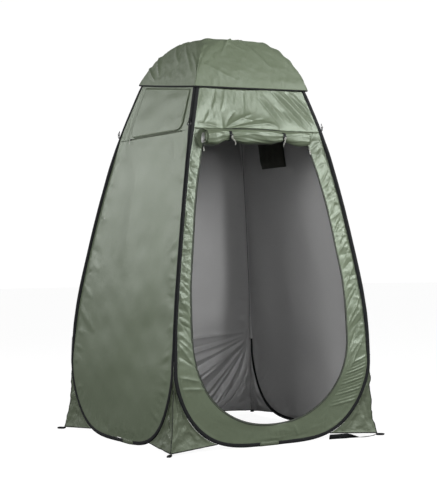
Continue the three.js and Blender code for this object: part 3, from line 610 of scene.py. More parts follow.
for quarter, wall in enumerate(WALLS):
    frames = {k: turned(LOOP[k], quarter) for k in ("at", "out", "face")}
    rng = np.random.default_rng(31 + quarter)
    tug = np.interp(LOOP["s"], np.linspace(0, LOOP["length"], 90), np.append(
        rng.uniform(0.94, 1.05, 89), 1.0))
    swept(f"binding_{wall}", frames["at"], frames["out"], frames["face"], BINDING, [TWILL],
          closed=True, scale=tug, slot="edge_binding", replaces=[f"edge_sleeve_{wall}"])
    swept(f"wire_{wall}", frames["at"] + 0.0003 * frames["out"], frames["out"], frames["face"],
          0.002 * np.array(ROUND), [STEEL], closed=True, slot="spring_steel",
          replaces=[f"frame_wire_{wall}"])
    centre = PATCH_CENTRE[wall]
    part = {k: turned(v, quarter) for k, v in loop_part(centre - 0.03, centre + 0.03).items()}
    swept(f"ferrule_{wall}", part["at"], part["out"], part["face"], 0.0031 * np.array(ROUND),
          [STEEL], slot="ferrule_steel", replaces=[f"wire_ferrule_{wall}"])
    part = {k: turned(v, quarter) for k, v in loop_part(centre - 0.05, centre + 0.05).items()}
    count = len(part["at"])
    snug = 1 + 0.03 * np.sin(np.linspace(0, 9, count) + quarter) - 0.05 * (
        np.abs(np.linspace(-1, 1, count)) > 0.93)
    swept(f"patch_{wall}", part["at"], part["out"], part["face"], PATCH, [CRUSHED], scale=snug,
          slot="shell_fabric", replaces=[f"joint_patch_{wall}"])

# ---- Walls ------------------------------------------------------------------------------------
def shares(count):
    """Columns across a wall, closer together near its edges."""
    even = np.linspace(-1, 1, count)
    return np.sin(even * math.pi / 2) * 0.35 + even * 0.65


def loop_at(ring, rows):
    """Points of a ring of the loop at sample numbers that may be fractions."""
    low = np.floor(rows).astype(int)
    t = (rows - low)[:, None]
    return ring[low % LOOP_STEPS] * (1 - t) + ring[(low + 1) % LOOP_STEPS] * t


def wall_rows(first, last, columns, fine):
    """Sample numbers, (u, z), cloth edge and binding points of a wall between two samples."""
    rows = np.linspace(first, last, (last - first) * fine + 1)
    mouth, edge = loop_at(MOUTH, rows), loop_at(EDGE, rows)
    u = shares(columns)[None] * mouth[:, :1]
    z = np.repeat(mouth[:, 2:], columns, 1)
    return rows, u, z, mouth, edge


def wall_sheet(name, quarter, first, last, height, keep_out=None, columns=81, outside=None,
               fine=1, **more):
    """A wall's cloth; height(u, z, dist, s) is how far it stands out of the plain wall."""
    rows, u, z, mouth, edge = wall_rows(first, last, columns, fine)
    dist, which = from_edge(u, z, EDGE_LINE)
    h = height(u, z, dist, LOOP["s"][which]) * step(0, 0.012, dist)
    grid = np.stack([u, np.repeat(mouth[:, 1:2], u.shape[1], 1), z], -1)
    plain = grid.copy()
    grid = grid + wall_normal(z) * h[..., None]
    mirror = np.array([-1, 1, 1])
    grid = np.concatenate([edge[:, None] * mirror, grid, edge[:, None]], 1)
    keep = None
    if keep_out is not None:
        cu = (u[:-1, :-1] + u[1:, 1:]) / 2
        cz = (z[:-1, :-1] + z[1:, 1:]) / 2
        inside = ~keep_out(cu, cz)
        keep = np.ones((len(rows) - 1, grid.shape[1] - 1), bool)
        keep[:, 1:-1] = inside
    piece = cloth_grid(name, turned(grid, quarter), [outside or GREEN, SILVER], keep=keep,
                       slot="shell_fabric", **more)
    return piece


def near_ground(at):
    """Strength of a gather at a distance along the loop from the ground's middle."""
    return 1.0 if at < 1.6 or at > LOOP["length"] - 1.6 else 0.55


def side_folds(seed, low_edge=1.0):
    """Folds of a plain wall: broad waves, and gathers along its edge, most near the ground."""
    def height(u, z, dist, s):
        total = waves(u, z, seed, 0.55, 0.0035, stretch=1.6)
        total += puckers(dist, s, LOOP["length"], seed, 0.036, 0.0055, 0.12, near_ground) * low_edge
        total += waves(u, z, seed + 9, 0.16, 0.0006, 8)
        return total * step(0, 0.05, dist)
    return height


# Soft folds of the left wall: start, end, width and height.
LEFT_CREASES = [
    ((-0.50, 0.62), (-0.30, 0.50), 0.022, 0.004), ((-0.47, 0.86), (-0.33, 0.80), 0.016, 0.003),
    ((-0.50, 0.74), (-0.36, 0.66), 0.014, 0.003), ((0.18, 1.50), (0.27, 1.30), 0.03, 0.003),
    ((-0.10, 1.30), (-0.06, 0.75), 0.06, 0.003), ((0.16, 1.25), (0.24, 0.55), 0.07, 0.0035)]


def left_folds(u, z, dist, s):
    total = side_folds(11)(u, z, dist, s)
    for start, end, width, size in LEFT_CREASES:
        total = total + crease(u, z, start, end, width, size, sharp=False)
    under_flap = step(0.31, 0.26, np.abs(u - 0.025)) * step(1.38, 1.43, z)
    return total * (1 - 0.92 * under_flap)


def back_folds(u, z, dist, s):
    total = side_folds(23, 1.3)(u, z, dist, s)
    total += crumple(u, z, 5, 0.20, 0.0040) * (1 - step(0.20, 0.50, z))
    for i in range(13):
        slope, run = math.radians(4 + 5.2 * i), 0.56 - 0.014 * i
        for side in (-1, 1):  # folds that fan out of both corners
            end = (side * 0.485, 0.445 - 0.010 * i)
            start = (side * (0.485 - run * math.cos(slope)),
                     max(0.04, end[1] - run * math.sin(slope)))
            total = total + crease(u, z, start, end, 0.0070, (-0.0095, 0.006, -0.011)[i % 3],
                                   bow=0.010 * (i % 2))
    return total


def right_folds(u, z, dist, s):
    behind_pocket = step(0.17, 0.12, np.abs(u - 0.09)) * step(1.27, 1.30, z) * step(1.50, 1.47, z)
    total = side_folds(37, 1.1)(u, z, dist, s) + waves(u, z, 41, 0.35, 0.002)
    return total * (1 - behind_pocket)


WINDOW_HALF, WINDOW_LOW, WINDOW_HIGH = 0.205, 1.482, 1.632


def in_window(u, z):
    """Whether a place on the left wall is in the window's opening."""
    return (np.abs(u) < WINDOW_HALF) & (z > WINDOW_LOW) & (z < WINDOW_HIGH)


FIRST, LAST = 3, HALF - 3
SEAM_ROW = int(np.argmin(np.abs(MOUTH[RISING, 2] - SEAM_HEIGHT))) + RISING.start
wall_sheet("wall_cloth_left", 3, FIRST, LAST, left_folds, in_window, replaces=["left_wall"])
wall_sheet("wall_cloth_back", 2, FIRST, LAST, back_folds, columns=121, fine=2,
           replaces=["back_wall"])
wall_sheet("wall_cloth_right", 1, FIRST, LAST, right_folds, replaces=["right_wall"])

# Folds of the header: start, end, width and height.
HEADER_CREASES = [
    ((-0.200, 1.645), (-0.256, 1.515), 0.0045, -0.0045), ((-0.05, 1.64), (-0.075, 1.50), 0.004, -0.003),
    ((0.020, 1.615), (0.135, 1.460), 0.0055, -0.0065), ((0.045, 1.62), (0.160, 1.465), 0.007, 0.0055),
    ((0.095, 1.650), (0.285, 1.450), 0.0060, -0.0075), ((0.125, 1.65), (0.310, 1.46), 0.009, 0.0065),
    ((0.175, 1.645), (0.345, 1.470), 0.0055, -0.0060), ((0.205, 1.64), (0.340, 1.50), 0.007, 0.0045),
    ((0.110, 1.570), (0.190, 1.490), 0.0050, -0.0045), ((0.155, 1.54), (0.240, 1.46), 0.006, 0.0045),
    ((0.235, 1.640), (0.335, 1.520), 0.0040, -0.0035), ((-0.235, 1.56), (-0.290, 1.47), 0.005, 0.0035),
    ((-0.15, 1.640), (-0.190, 1.530), 0.0050, 0.0030), ((-0.10, 1.65), (-0.110, 1.56), 0.004, 0.0025),
    ((-0.175, 1.460), (-0.120, 1.530), 0.0050, -0.0050), ((-0.175, 1.455), (-0.02, 1.525), 0.006, 0.0060),
    ((-0.170, 1.450), (0.040, 1.500), 0.0050, -0.0055), ((-0.165, 1.448), (0.100, 1.478), 0.006, 0.0060),
    ((-0.120, 1.500), (0.120, 1.462), 0.0060, 0.0050), ((-0.32, 1.47), (-0.195, 1.453), 0.006, 0.0040)]


def header_folds(u, z, dist, s):
    """Folds that hang from the cap's hem, and the bulge where the roll lifts the cloth."""
    total = side_folds(53, 0.8)(u, z, dist, s) * 0.7
    bulge = np.clip(1 - ((u + 0.035) / 0.155) ** 2, 0, 1) ** 0.6
    total += 0.017 * bulge * np.exp(-(np.clip(z - SEAM_HEIGHT, 0, 1) / 0.050) ** 2)
    total += crumple(u, z, 57, 0.22, 0.0022) + crumple(u * 1.6, z * 0.5, 59, 0.05, 0.0007)
    for start, end, width, size in HEADER_CREASES:
        total = total + crease(u, z, start, end, width, size, bow=0.004)
    return total


wall_sheet("header_cloth", 0, SEAM_ROW, LAST, header_folds, columns=161, outside=CREASED, fine=2,
           replaces=["front_header"])

# ---- Strip of the front wall round the door opening ---------------------------------------------
SILL_TURNS = np.radians([0, 16, 29, 41, 52, 62, 71, 78, 84, 90])
SILL_PLACES = [(bottom_bend(f), f) for f in (0, 0.3, 0.52, 0.7, 0.84, 0.94)] + [
    (z, 1.0) for z in (0.352, 0.400, 0.450, 0.510)]

# Single folds of the strip: start, end, width and height.
STRIP_CREASES = [
    ((-0.52, 0.50), (-0.42, 0.37), 0.008, 0.004), ((-0.52, 0.34), (-0.36, 0.305), 0.008, 0.004),
    ((-0.50, 0.285), (-0.33, 0.275), 0.007, 0.0035), ((-0.50, 0.72), (-0.43, 0.60), 0.007, 0.004),
    ((-0.40, 1.14), (-0.35, 1.02), 0.006, 0.004), ((0.47, 0.92), (0.40, 0.80), 0.006, 0.004),
    ((0.10, 0.085), (0.13, 0.03), 0.010, 0.003), ((-0.12, 0.085), (-0.15, 0.03), 0.010, 0.002)]


def door_edge(rows):
    """The door's edge, as (u, z), beside loop samples of the right half."""
    z = loop_at(MOUTH, rows)[:, 2]
    u = read_curve(DOOR_PROFILE, z)
    s = rows * LOOP["length"] / LOOP_STEPS
    at = np.array([[f * (half_width(h) - corner_inset(h)), -half_width(h), h]
                   for h, f in SILL_PLACES])
    near = [LOOP["s"][np.argmin(((LOOP["at"][:HALF] - p) ** 2).sum(1))] for p in at]
    turn = np.interp(s, near, SILL_TURNS)
    low = s < near[-1]
    u[low] = (DOOR_PROFILE[0, 1] * np.sin(turn) ** (2 / DOOR_ROUNDNESS))[low]
    z[low] = (DOOR_MIDDLE - (DOOR_MIDDLE - DOOR_SILL) * np.cos(turn) ** (2 / DOOR_ROUNDNESS))[low]
    return u, z


STRIP = np.linspace(0, SEAM_ROW, 2 * SEAM_ROW + 1)
door_u, door_z = door_edge(STRIP)
door_u = np.concatenate([-door_u[:0:-1], door_u]) + DOOR_SHIFT
door_z = np.concatenate([door_z[:0:-1], door_z])
strip_rows = np.concatenate([-STRIP[:0:-1], STRIP])
across = np.linspace(0, 1, 37)[None, :, None]
mouths, edges = loop_at(MOUTH, strip_rows), loop_at(EDGE, strip_rows)
strip = mouths[:, None] * (1 - across) + on_wall(door_u, door_z)[:, None] * across
strip[..., 1] = -wall_depth(strip[..., 2])
strip[:, 0] = mouths
strip_plain = strip.copy()
su, sz = strip[..., 0], strip[..., 2]
s_dist, s_near = from_edge(su, sz, EDGE_LINE)
door_dist, door_near = from_edge(su, sz, np.stack([door_u, door_z], -1))
door_s = run_along(np.stack([door_u, door_z], -1))
high = step(0.30, 0.55, sz)  # the sill is smooth; the sides are gathered
h = puckers(s_dist, LOOP["s"][s_near], LOOP["length"], 67, 0.026, 0.0050, 0.10) * (0.25 + 0.75 * high)
h += puckers(door_dist, door_s[door_near], 99, 71, 0.030, 0.0035, 0.07) * (0.2 + 0.8 * high)
h += waves(su, sz, 73, 0.34, 0.0026)
for start, end, width, size in STRIP_CREASES:
    h = h + crease(su, sz, start, end, width, size)
for i, low in enumerate(np.linspace(0.175, 0.37, 13)):  # parallel folds low on the right
    h = h + crease(su, sz, (0.300 + 0.010 * i, low - 0.022), (0.545, low + 0.026), 0.0042,
                   0.0046 * (1 - 0.25 * (i % 3)), bow=-0.003)
for i, low in enumerate(np.linspace(0.40, 1.40, 34)):  # pulls between edge and zip, both sides
    for side in (-1, 1):
        edge_u = float(wall_reach(low + 0.05))
        slant = 0.11 + 0.06 * math.sin(i * 2.3 + side)
        h = h + crease(su, sz, (side * (edge_u - 0.10), low - slant * 0.5),
                       (side * (edge_u - 0.004), low + slant * 0.5), 0.0050,
                       0.0042 * math.sin(i * 5.1 + 2 * side))
h = h * step(0, 0.012, s_dist) * (0.25 + 0.75 * step(0, 0.03, door_dist))
strip = strip + wall_normal(sz) * h[..., None]
strip = np.concatenate([edges[:, None], strip], 1)
front_strip = cloth_grid("front_cloth", strip[:, ::-1], [CREASED, SILVER], slot="shell_fabric",
                         replaces=["front_wall"])

# ---- Zip round the door -------------------------------------------------------------------------
zip_line = on_wall(door_u, door_z)
zip_line[[0, -1], 2] -= 0.002
zip_along = unit(np.gradient(zip_line, axis=0))
zip_face = wall_normal(zip_line[:, 2])
zip_in = unit(np.cross(zip_face, zip_along))
TAPE = both_faces([[-2.5, 0.9], [0, 1.1], [5.6, 0.7]])
swept("door_zip_tape", zip_line, zip_in, zip_face, TAPE, [ZIP_TAPE], slot="zip_tape",
      replaces=["door_zip"])
tube("door_zip_teeth", zip_line + 0.0064 * zip_in, 0.0014, [ZIP_TEETH], sides=6, slot="zip_tape")

# ---- Facings that cover the back binding's low bends inside ---------------------------------
bend_rows = np.flatnonzero((LOOP["at"][:HALF, 2] < 0.47) & (LOOP["at"][:HALF, 0] > 0.16))
for side, name in ((1, "left"), (-1, "right")):
    share = np.linspace(0, 1, 9)
    reach = np.interp(share, [0, 1], [-0.026, 0.0125])
    proud = np.interp(share, [0, 0.3, 0.5, 0.85, 1], [0.0015, 0.0052, 0.0062, 0.0058, 0.0012])
    at, out, face = (LOOP[key][bend_rows][:, None] for key in ("at", "out", "face"))
    facing = at + out * reach[None, :, None] - face * proud[None, :, None]
    facing = facing - face * (crumple(LOOP["s"][bend_rows][:, None], reach[None], 141, 0.05, 0.0012)
                              * np.sin(share * math.pi)[None])[..., None]
    facing[..., 2] = np.maximum(facing[..., 2], 0.003)
    facing = facing * [side, 1, 1]
    piece = cloth_grid(f"back_facing_{name}", turned(facing[:, ::side], 2), [SILVER],
                       slot="shell_fabric")

# ---- Corner gussets, peg loops, guy rings ---------------------------------------------------------
OUTWARDS = np.array([1, -1, 0]) / math.sqrt(2)
SIDEWAYS = np.array([1, 1, 0]) / math.sqrt(2)
RING_HEIGHT, RING_RADIUS, RING_STAND = 1.466, 0.009, 0.005
RING_SIDES = [0.0066, -0.0066, 0.0066, -0.0066]
GUSSET_TOP, GUSSET_ROWS = 0.385, 46


def across_corner(p):
    """Points mirrored from the front wall to the right wall."""
    return np.stack([-p[..., 1], -p[..., 0], p[..., 2]], -1)


def diagonal(reach, z):
    """Points in the front right corner's diagonal plane."""
    reach, z = np.asarray(reach, float), np.asarray(z, float)
    return np.stack([reach, -reach, z + 0 * reach], -1)


right_half = np.arange(0, HALF)
right_x, right_z = LOOP["at"][right_half, 0], LOOP["at"][right_half, 2]
beside = LOOP["at"] + 0.0083 * LOOP["flat_out"]
fraction = right_x / (half_width(right_z) - corner_inset(right_z))
low_bend = right_half[(fraction >= 0.58) & (right_z <= GUSSET_TOP)][::-1]
gusset_side = resample(beside[low_bend], GUSSET_ROWS)[0]
side_run = run_along(gusset_side)
knots = [np.interp(f, fraction[low_bend][::-1], side_run[-1] * np.linspace(1, 0, len(low_bend)))
         for f in (0.94, 0.84, 0.58)]
t_knots = np.array([0] + knots) / side_run[-1]
t_row = np.linspace(0, 1, GUSSET_ROWS)
gusset_seam = diagonal(np.interp(t_row, t_knots, [0.5325, 0.5335, 0.5390, 0.558]),
                       np.interp(t_row, t_knots, [GUSSET_TOP, 0.250, 0.120, 0.012]))


def gusset(corner, quarter, seed):
    """Crushed cloth that closes a corner from the bindings down to the ground."""
    v = np.linspace(-1, 1, 61)
    front = gusset_side[:, None] * np.abs(v)[None, :, None] + gusset_seam[:, None] * (
        1 - np.abs(v))[None, :, None]
    grid = np.where(v[None, :, None] > 0, across_corner(front), front)
    plain = grid.copy()
    a, b = v[None] * 0.16 * (0.15 + t_row[:, None]), grid[..., 2]
    tuck = 1 - np.abs(v)[None]
    h = -0.010 * 4 * np.abs(v)[None] * tuck * np.sin(t_row[:, None] * math.pi) ** 0.5
    loose = (tuck ** 0.5 * (1 - 0.6 * tuck ** 6)) * step(0, 0.25, t_row)[:, None]
    h = h + crumple(a, b, seed, 0.070, 0.015) * loose
    h = h + waves(a, b, seed + 3, 0.06, 0.0018)
    for turn in (-0.62, -0.25, 0.3, 0.6):
        h = h + crease(a, b, (0, 0.02), (turn * 0.14, 0.20), 0.0075, 0.009 * np.sign(turn))
    h = h * step(0, 0.12, tuck) * 1.1
    grid = grid + h[..., None] * OUTWARDS
    grid[..., 2] = np.maximum(grid[..., 2], 0.004)
    piece = cloth_grid(f"gusset_cloth_{corner}", turned(grid[:, ::-1], quarter), [CRUSHED, SILVER],
                       slot="shell_fabric", replaces=[f"corner_gusset_{corner}"])
    tube(f"gusset_hem_{corner}", turned(grid[-1], quarter), 0.0021, [TWILL], sides=6,
         slot="edge_binding")
    ridge = grid[12:, 30] + 0.0006 * OUTWARDS
    tube(f"gusset_seam_{corner}", turned(ridge, quarter), 0.0015, [TWILL], sides=6,
         slot="edge_binding")


def peg_loop(corner, quarter):
    """A flat loop of webbing that points outwards from the corner."""
    side_view = MM * np.array([[2, 8], [3.6, 3], [7, 0.9], [15, 0.9], [24, 1.2], [29, 3.6],
                               [30, 7.5], [27.5, 11], [22, 12.2], [14, 11.6], [7, 11.8], [3, 11]])
    side_view[:, 1] = 6.0 * MM + (side_view[:, 1] - 6.4 * MM) * 0.48
    ring = np.vstack([side_view, side_view[:1]])
    at = diagonal(0.5535 + ring[:, 0], ring[:, 1])
    line = resample(at[:-1], 44, closed=True)[0]
    line = (np.roll(line, 1, 0) + line * 2 + np.roll(line, -1, 0)) / 4
    out = np.cross(ring_ahead(line), SIDEWAYS)
    face = np.repeat(SIDEWAYS[None], len(line), 0)
    line[:, 2] = np.maximum(line[:, 2], 0.0024)
    swept(f"peg_strap_{corner}", turned(line, quarter), turned(out, quarter),
          turned(face, quarter), band(2.1, 6.4, 1.2, 7.0), [WEBBING], closed=True, slot="webbing",
          replaces=[f"peg_loop_{corner}"])


def guy_point(side, across, out, up):
    """A point beside the corner at the rings' height."""
    base = diagonal(half_width(RING_HEIGHT), RING_HEIGHT)
    across, out, up = np.broadcast_arrays(*[np.asarray(x, float) for x in (across, out, up)])
    return (base + up[..., None] * [0, 0, 1] + (RING_STAND + out)[..., None] * OUTWARDS
            + (side + across)[..., None] * SIDEWAYS)


def guy_ring(corner, quarter):
    """A ring and the webbing loop that holds it."""
    side = RING_SIDES[quarter]
    turn = np.linspace(0, 2 * math.pi, 40, endpoint=False)
    circle = guy_point(side, RING_RADIUS * np.cos(turn), 0, RING_RADIUS * np.sin(turn))
    tube(f"ring_{corner}", turned(circle, quarter), 0.0017, [PLASTIC], closed=True,
         body=f"guy_ring_{corner}", slot="black_plastic", replaces=[f"guy_ring_{corner}"])
    side_view = MM * np.array([[-4.0, 17], [-4.0, 9], [-3.9, 2], [-3.4, -2.8], [-1, -4.2],
                               [1.8, -4.3], [3.7, -2.9], [4.0, 0.5], [3.0, 4], [0.2, 8],
                               [-2.4, 12], [-2.7, 17]])
    bend = smooth_path(np.hstack([side_view, 0 * side_view[:, :1]]), 36)
    line = guy_point(side, 0, bend[:, 0], RING_RADIUS + bend[:, 1])
    face = np.repeat(SIDEWAYS[None], len(line), 0)
    out = np.cross(unit(np.gradient(line, axis=0)), face)
    swept(f"ring_loop_{corner}", turned(line, quarter), turned(out, quarter),
          turned(face, quarter), band(0.6, 2.9, 0.2, 3.2), [WEBBING], slot="webbing",
          replaces=[f"ring_tab_{corner}"])


for quarter, corner in enumerate(CORNERS):
    peg_loop(corner, quarter)
    gusset(corner, quarter, 101 + 7 * quarter)
    guy_ring(corner, quarter)

stitched = right_half[(right_z > 0.40) & (right_z < 1.66)]  # where two bindings are sewn
stitching = (LOOP["at"][stitched] + across_corner(LOOP["at"][stitched])) / 2
for quarter, corner in enumerate(CORNERS):
    tube(f"corner_stitching_{corner}", turned(stitching + 0.0020 * OUTWARDS, quarter), 0.0026,
         [TWILL], sides=6, slot="edge_binding")

inner_seam = []
for share in np.linspace(0, 1, 7):
    near, far = MOUTH[stitched], across_corner(MOUTH[stitched])
    inner_seam.append(near * (1 - share) + far * share - OUTWARDS * 0.0022 * math.sin(share * math.pi))
inner_seam = np.stack(inner_seam, 1)
for quarter, corner in enumerate(CORNERS):
    piece = cloth_grid(f"corner_facing_{corner}", turned(inner_seam, quarter), [SILVER],
                       slot="shell_fabric")
    tube(f"corner_seam_{corner}", turned(inner_seam[:, 3] - 0.0006 * OUTWARDS, quarter), 0.0012,
         [TWILL], sides=6, slot="edge_binding")

# ---- Roof netting and cap -------------------------------------------------------------------------
gore_rows = right_half[right_z > 1.692]
gore_side = resample(np.vstack([beside[gore_rows], beside[HALF:HALF + 1]]), 24)[0]
gore_side -= 0.006 * np.array([0, -1, 0])
span = np.linspace(0, 1, 15)[None, :, None]
gore = gore_side[:, None] * (1 - span) + across_corner(gore_side)[:, None] * span
gore = gore + OUTWARDS * 0.08 * np.linalg.norm(
    gore_side - across_corner(gore_side), axis=1)[:, None, None] * span * (1 - span) * 2
apex = gore_side[-1]
for quarter, corner in enumerate(CORNERS):
    piece = cloth_grid(f"roof_net_{corner}", turned(gore, quarter), [NETTING],
                       thickness=0.0005, slot="roof_netting", replaces=["roof_mesh"])
s = np.linspace(0, 1, 21)
a, b, c, d = (turned(apex, q) for q in range(4))
top = ((1 - s)[:, None, None] * ((1 - s)[None, :, None] * a + s[None, :, None] * b)
       + s[:, None, None] * ((1 - s)[None, :, None] * d + s[None, :, None] * c))
top[..., 2] += 0.006 * (np.sin(s * math.pi)[:, None] * np.sin(s * math.pi)[None])
piece = cloth_grid("roof_net_top", top, [NETTING], thickness=0.0005, slot="roof_netting")


CROWN = 1.898
# A gore at the hem: its width in metres, and its flat share to each side and its rounded corner.
GORE_WIDTH, GORE_FLAT, GORE_ROUND = 0.58, 0.42, 0.16
# Folds of the cap: gore, start and end (metres from the gore's middle, up from the hem).
CAP_CREASES = [
    (0, (0.02, 0.40), (0.25, 0.10), 0.013, -0.011), (0, (0.05, 0.36), (0.26, 0.03), 0.012, -0.010),
    (0, (0.06, 0.42), (0.24, 0.20), 0.011, 0.009), (0, (0.10, 0.30), (0.24, 0.14), 0.010, 0.008),
    (0, (-0.04, 0.33), (0.10, 0.10), 0.012, 0.008), (0, (-0.10, 0.34), (-0.20, 0.10), 0.010, -0.008),
    (0, (-0.06, 0.36), (-0.12, 0.16), 0.009, 0.008), (0, (0.16, 0.22), (0.27, 0.03), 0.010, 0.008),
    (0, (-0.16, 0.30), (0.00, 0.20), 0.009, 0.007), (0, (-0.22, 0.12), (-0.05, 0.02), 0.012, 0.006),
    (3, (-0.20, 0.20), (-0.08, 0.05), 0.009, 0.012), (3, (-0.24, 0.12), (-0.10, 0.02), 0.009, 0.011),
    (3, (-0.12, 0.30), (0.06, 0.12), 0.012, 0.008), (3, (0.10, 0.34), (0.22, 0.16), 0.009, 0.010),
    (3, (0.04, 0.26), (0.20, 0.05), 0.011, 0.009), (3, (0.14, 0.18), (0.26, 0.04), 0.008, 0.008),
    (3, (0.16, 0.32), (0.20, 0.20), 0.010, -0.014), (3, (-0.02, 0.38), (0.14, 0.28), 0.010, -0.008),
    (1, (-0.15, 0.30), (0.05, 0.08), 0.012, 0.009), (1, (0.05, 0.34), (0.20, 0.12), 0.011, -0.009),
    (1, (-0.20, 0.14), (-0.04, 0.03), 0.010, 0.008), (2, (0.02, 0.36), (-0.20, 0.10), 0.012, 0.010),
    (2, (0.20, 0.24), (0.06, 0.04), 0.011, -0.009), (2, (-0.04, 0.30), (0.14, 0.10), 0.010, 0.008)]


def cap_ring(rise):
    """One level of the cap, and each point's side; rise is 0 at the hem, 1 at the crown's height."""
    ring, place = [], []
    for side in range(4):
        hems = CAP_HEM[side - 1], CAP_HEM[side]
        for share in np.linspace(-1, 1, 75):
            hem = hems[0] + (hems[1] - hems[0]) * (share + 1) / 2
            z = hem + rise * (CAP_TOP + 0.0025 - hem)
            half = float(half_width(z)) + CAP_CLEAR
            up = min(max((z - SHOULDER) / 0.3, 0), 0.999)
            flat = (half - 0.001) * (1 - up ** 3) ** (1 / 3)
            ring.append(turned(np.array([share * flat, -half, z]), side))
            place.append(side + share * GORE_FLAT)
        for k in np.linspace(0, 1, 23)[1:-1]:
            start, end = np.array([flat, -half]), np.array([half, -flat])
            bend = (start + end) / 2 + 0.30 * (half - flat) * np.array([1, -1])
            p = (1 - k) ** 2 * start + 2 * k * (1 - k) * bend + k * k * end
            ring.append(turned(np.array([p[0], p[1], z]), side))
            place.append(side + GORE_FLAT + GORE_ROUND * k)
    return np.array(ring), np.array(place)


levels = [cap_ring(r) for r in np.linspace(0, 0.955, 62)]
cap = [ring for ring, _ in levels]
for k in np.linspace(0.03, 1, 26):
    ring = levels[-1][0].copy()
    ring[:, :2] *= 1 - 0.98 * k
    ring[:, 2] += (CROWN - ring[:, 2]) * math.sin(k * math.pi / 2) ** 0.5
    cap.append(ring)
cap = np.array(cap)
place = levels[0][1]
cap_plain = cap.copy()
# Unrolled place on the cap: girth from the front's middle, and distance up the cloth.
girth = GORE_WIDTH * np.repeat(place[None], len(cap), 0)
gore_turn = girth / GORE_WIDTH + 0.5
step_up = np.linalg.norm(np.diff(cap, axis=0), axis=2).mean(1)
rise_at = np.repeat(np.concatenate([[0], np.cumsum(step_up)])[:, None], cap.shape[1], 1)
share_up = rise_at / rise_at.max()
narrow = np.linalg.norm(cap[..., :2], axis=2) / np.linalg.norm(cap[:1, :, :2], axis=2)
across_gore = (gore_turn % 1 - 0.5) * GORE_WIDTH * narrow  # metres from a gore's middle
gore = np.floor(gore_turn).astype(int) % 4
corner_gap = (0.5 - np.abs(gore_turn % 1 - 0.5)) * GORE_WIDTH * narrow
# How far the cap's cloth stands out: soft waves, crushed folds, and gathers under the crown.
h = waves(across_gore + gore, rise_at, 81, 0.28, 0.0018)
h = h + crumple(across_gore + gore * 0.9, rise_at, 83, 0.13, 0.0034)
h = h + crumple(across_gore + gore * 1.7, rise_at, 85, 0.06, 0.0014)
for gore_at, start, end, width, size in CAP_CREASES:
    fold = crease(across_gore, rise_at, start, end, width, size)
    h = h + np.where(gore == gore_at, fold, 0)
rng = np.random.default_rng(91)
for gore_at in range(4):
    for at in np.linspace(-0.20, 0.20, 15):
        top = 0.40 + rng.uniform(-0.02, 0.05)
        drift = at * rng.uniform(0.75, 1.0)
        h = h + np.where(gore == gore_at, crease(
            across_gore, rise_at, (at * 0.25, top), (drift, rng.uniform(0.18, 0.30)),
            rng.uniform(0.006, 0.011), rng.uniform(-0.007, 0.006)), 0)
# It dips less over the loops' wires and near the crown, and a ridge follows each corner seam.
over_wire = np.abs(np.clip(np.abs(across_gore) / (GORE_FLAT * GORE_WIDTH * narrow), 0, 2) - 1)
h = h * (1 - 0.7 * step(0.62, 0.78, share_up))
h = np.maximum(h, -0.0002 - 0.006 * step(0.05, 0.30, over_wire) * step(0.45, 0.34, share_up))
h = h * (0.15 + 0.85 * step(0, 0.045, rise_at)) * (0.25 + 0.75 * step(0.0, 0.02, corner_gap))
h = h + (0.004 + 0.003 * np.sin(rise_at * 95) * step(0.05, 0.2, rise_at)) * np.exp(
    -(corner_gap / 0.007) ** 2) * step(1.0, 0.9, share_up)
outward = unit(cap - np.array([0, 0, 1.50]))
cap = cap + outward * h[..., None]
cap[..., 2] = np.minimum(cap[..., 2], CROWN + 0.004)
cap_piece = cloth_grid("cap_cloth", cap, [CRINKLED, SILVER], closed=True, uv=np.stack(
    [girth, rise_at], -1), slot="shell_fabric", replaces=["roof_cap"])
# The hem tape is a real black binding, and its dark line also paints the shadow that the hem casts on the
# walls below it.
hem = cap[0] - [0, 0, 0.0030]
hem_out = unit(hem * [1, 1, 0])
swept("cap_hem_tape", hem, hem_out, np.cross(ring_ahead(hem), hem_out), MM * np.array(
    [[-1.1, -3], [-1.1, 3], [0, 3.6], [1.1, 3], [1.1, -3], [0, -3.6]]), [TWILL], closed=True,
    slot="edge_binding", replaces=["cap_hem"])

# ---- Rolled-up door and its ties ------------------------------------------------------------------
ROLL_CENTRE_U, ROLL_CENTRE_Z, ROLL_HALF = -0.026, SEAM_HEIGHT - 0.038, 0.280
ROLL_DEPTH, ROLL_HEIGHT = 0.027, 0.032
TIE_PLACES = {"left": -0.180, "right": 0.110}
ROLL_MIDDLE = float(wall_depth(ROLL_CENTRE_Z)) + ROLL_DEPTH + 0.003
TURNS = 14


def roll_shape(u, turn):
    """How far the roll's skin reaches at a place and angle, as a share of the full size."""
    near = np.minimum(np.abs(u - TIE_PLACES["left"]), np.abs(u - TIE_PLACES["right"]) + 0.012)
    low = 0.5 - 0.5 * np.sin(turn)
    tied = 1 - step(0.003, 0.090, near)
    pinch = 1 - (0.20 + 0.34 * low) * tied
    slack = 1 + 0.10 * np.sin(turn + 7 * u) + 0.06 * np.sin(2 * turn + 19 * u)
    pleats = 0.6 - np.abs(np.sin(turn * 3 + 1.1 * np.sin(u * 11) + 0.7 * np.sin(u * 29)))
    pleats = pleats + 0.6 * (0.6 - np.abs(np.sin(turn * 6 + 2.0 * np.sin(u * 17 + 1))))
    lobe = 0.42 * low * step(0.015, 0.075, TIE_PLACES["left"] - u)
    ends = 1 - 0.16 * step(0.80, 1.0, np.abs((u - ROLL_CENTRE_U) / ROLL_HALF))
    return pinch * ends * (slack + lobe + (0.07 + 0.07 * tied) * pleats)


def roll_skin(u, turn, share=1.0, out=0.0):
    """Turn 0 faces out of the door, a quarter turn is up."""
    size = roll_shape(u, turn) * share
    c, s = np.cos(turn), np.sin(turn)
    y = -ROLL_MIDDLE - (ROLL_DEPTH * size + out) * np.sign(c) * np.abs(c) ** 0.62
    z = ROLL_CENTRE_Z + (ROLL_HEIGHT * size + out) * np.sign(s) * np.abs(s) ** 0.80
    return np.stack([u + 0 * y, y, z], -1)


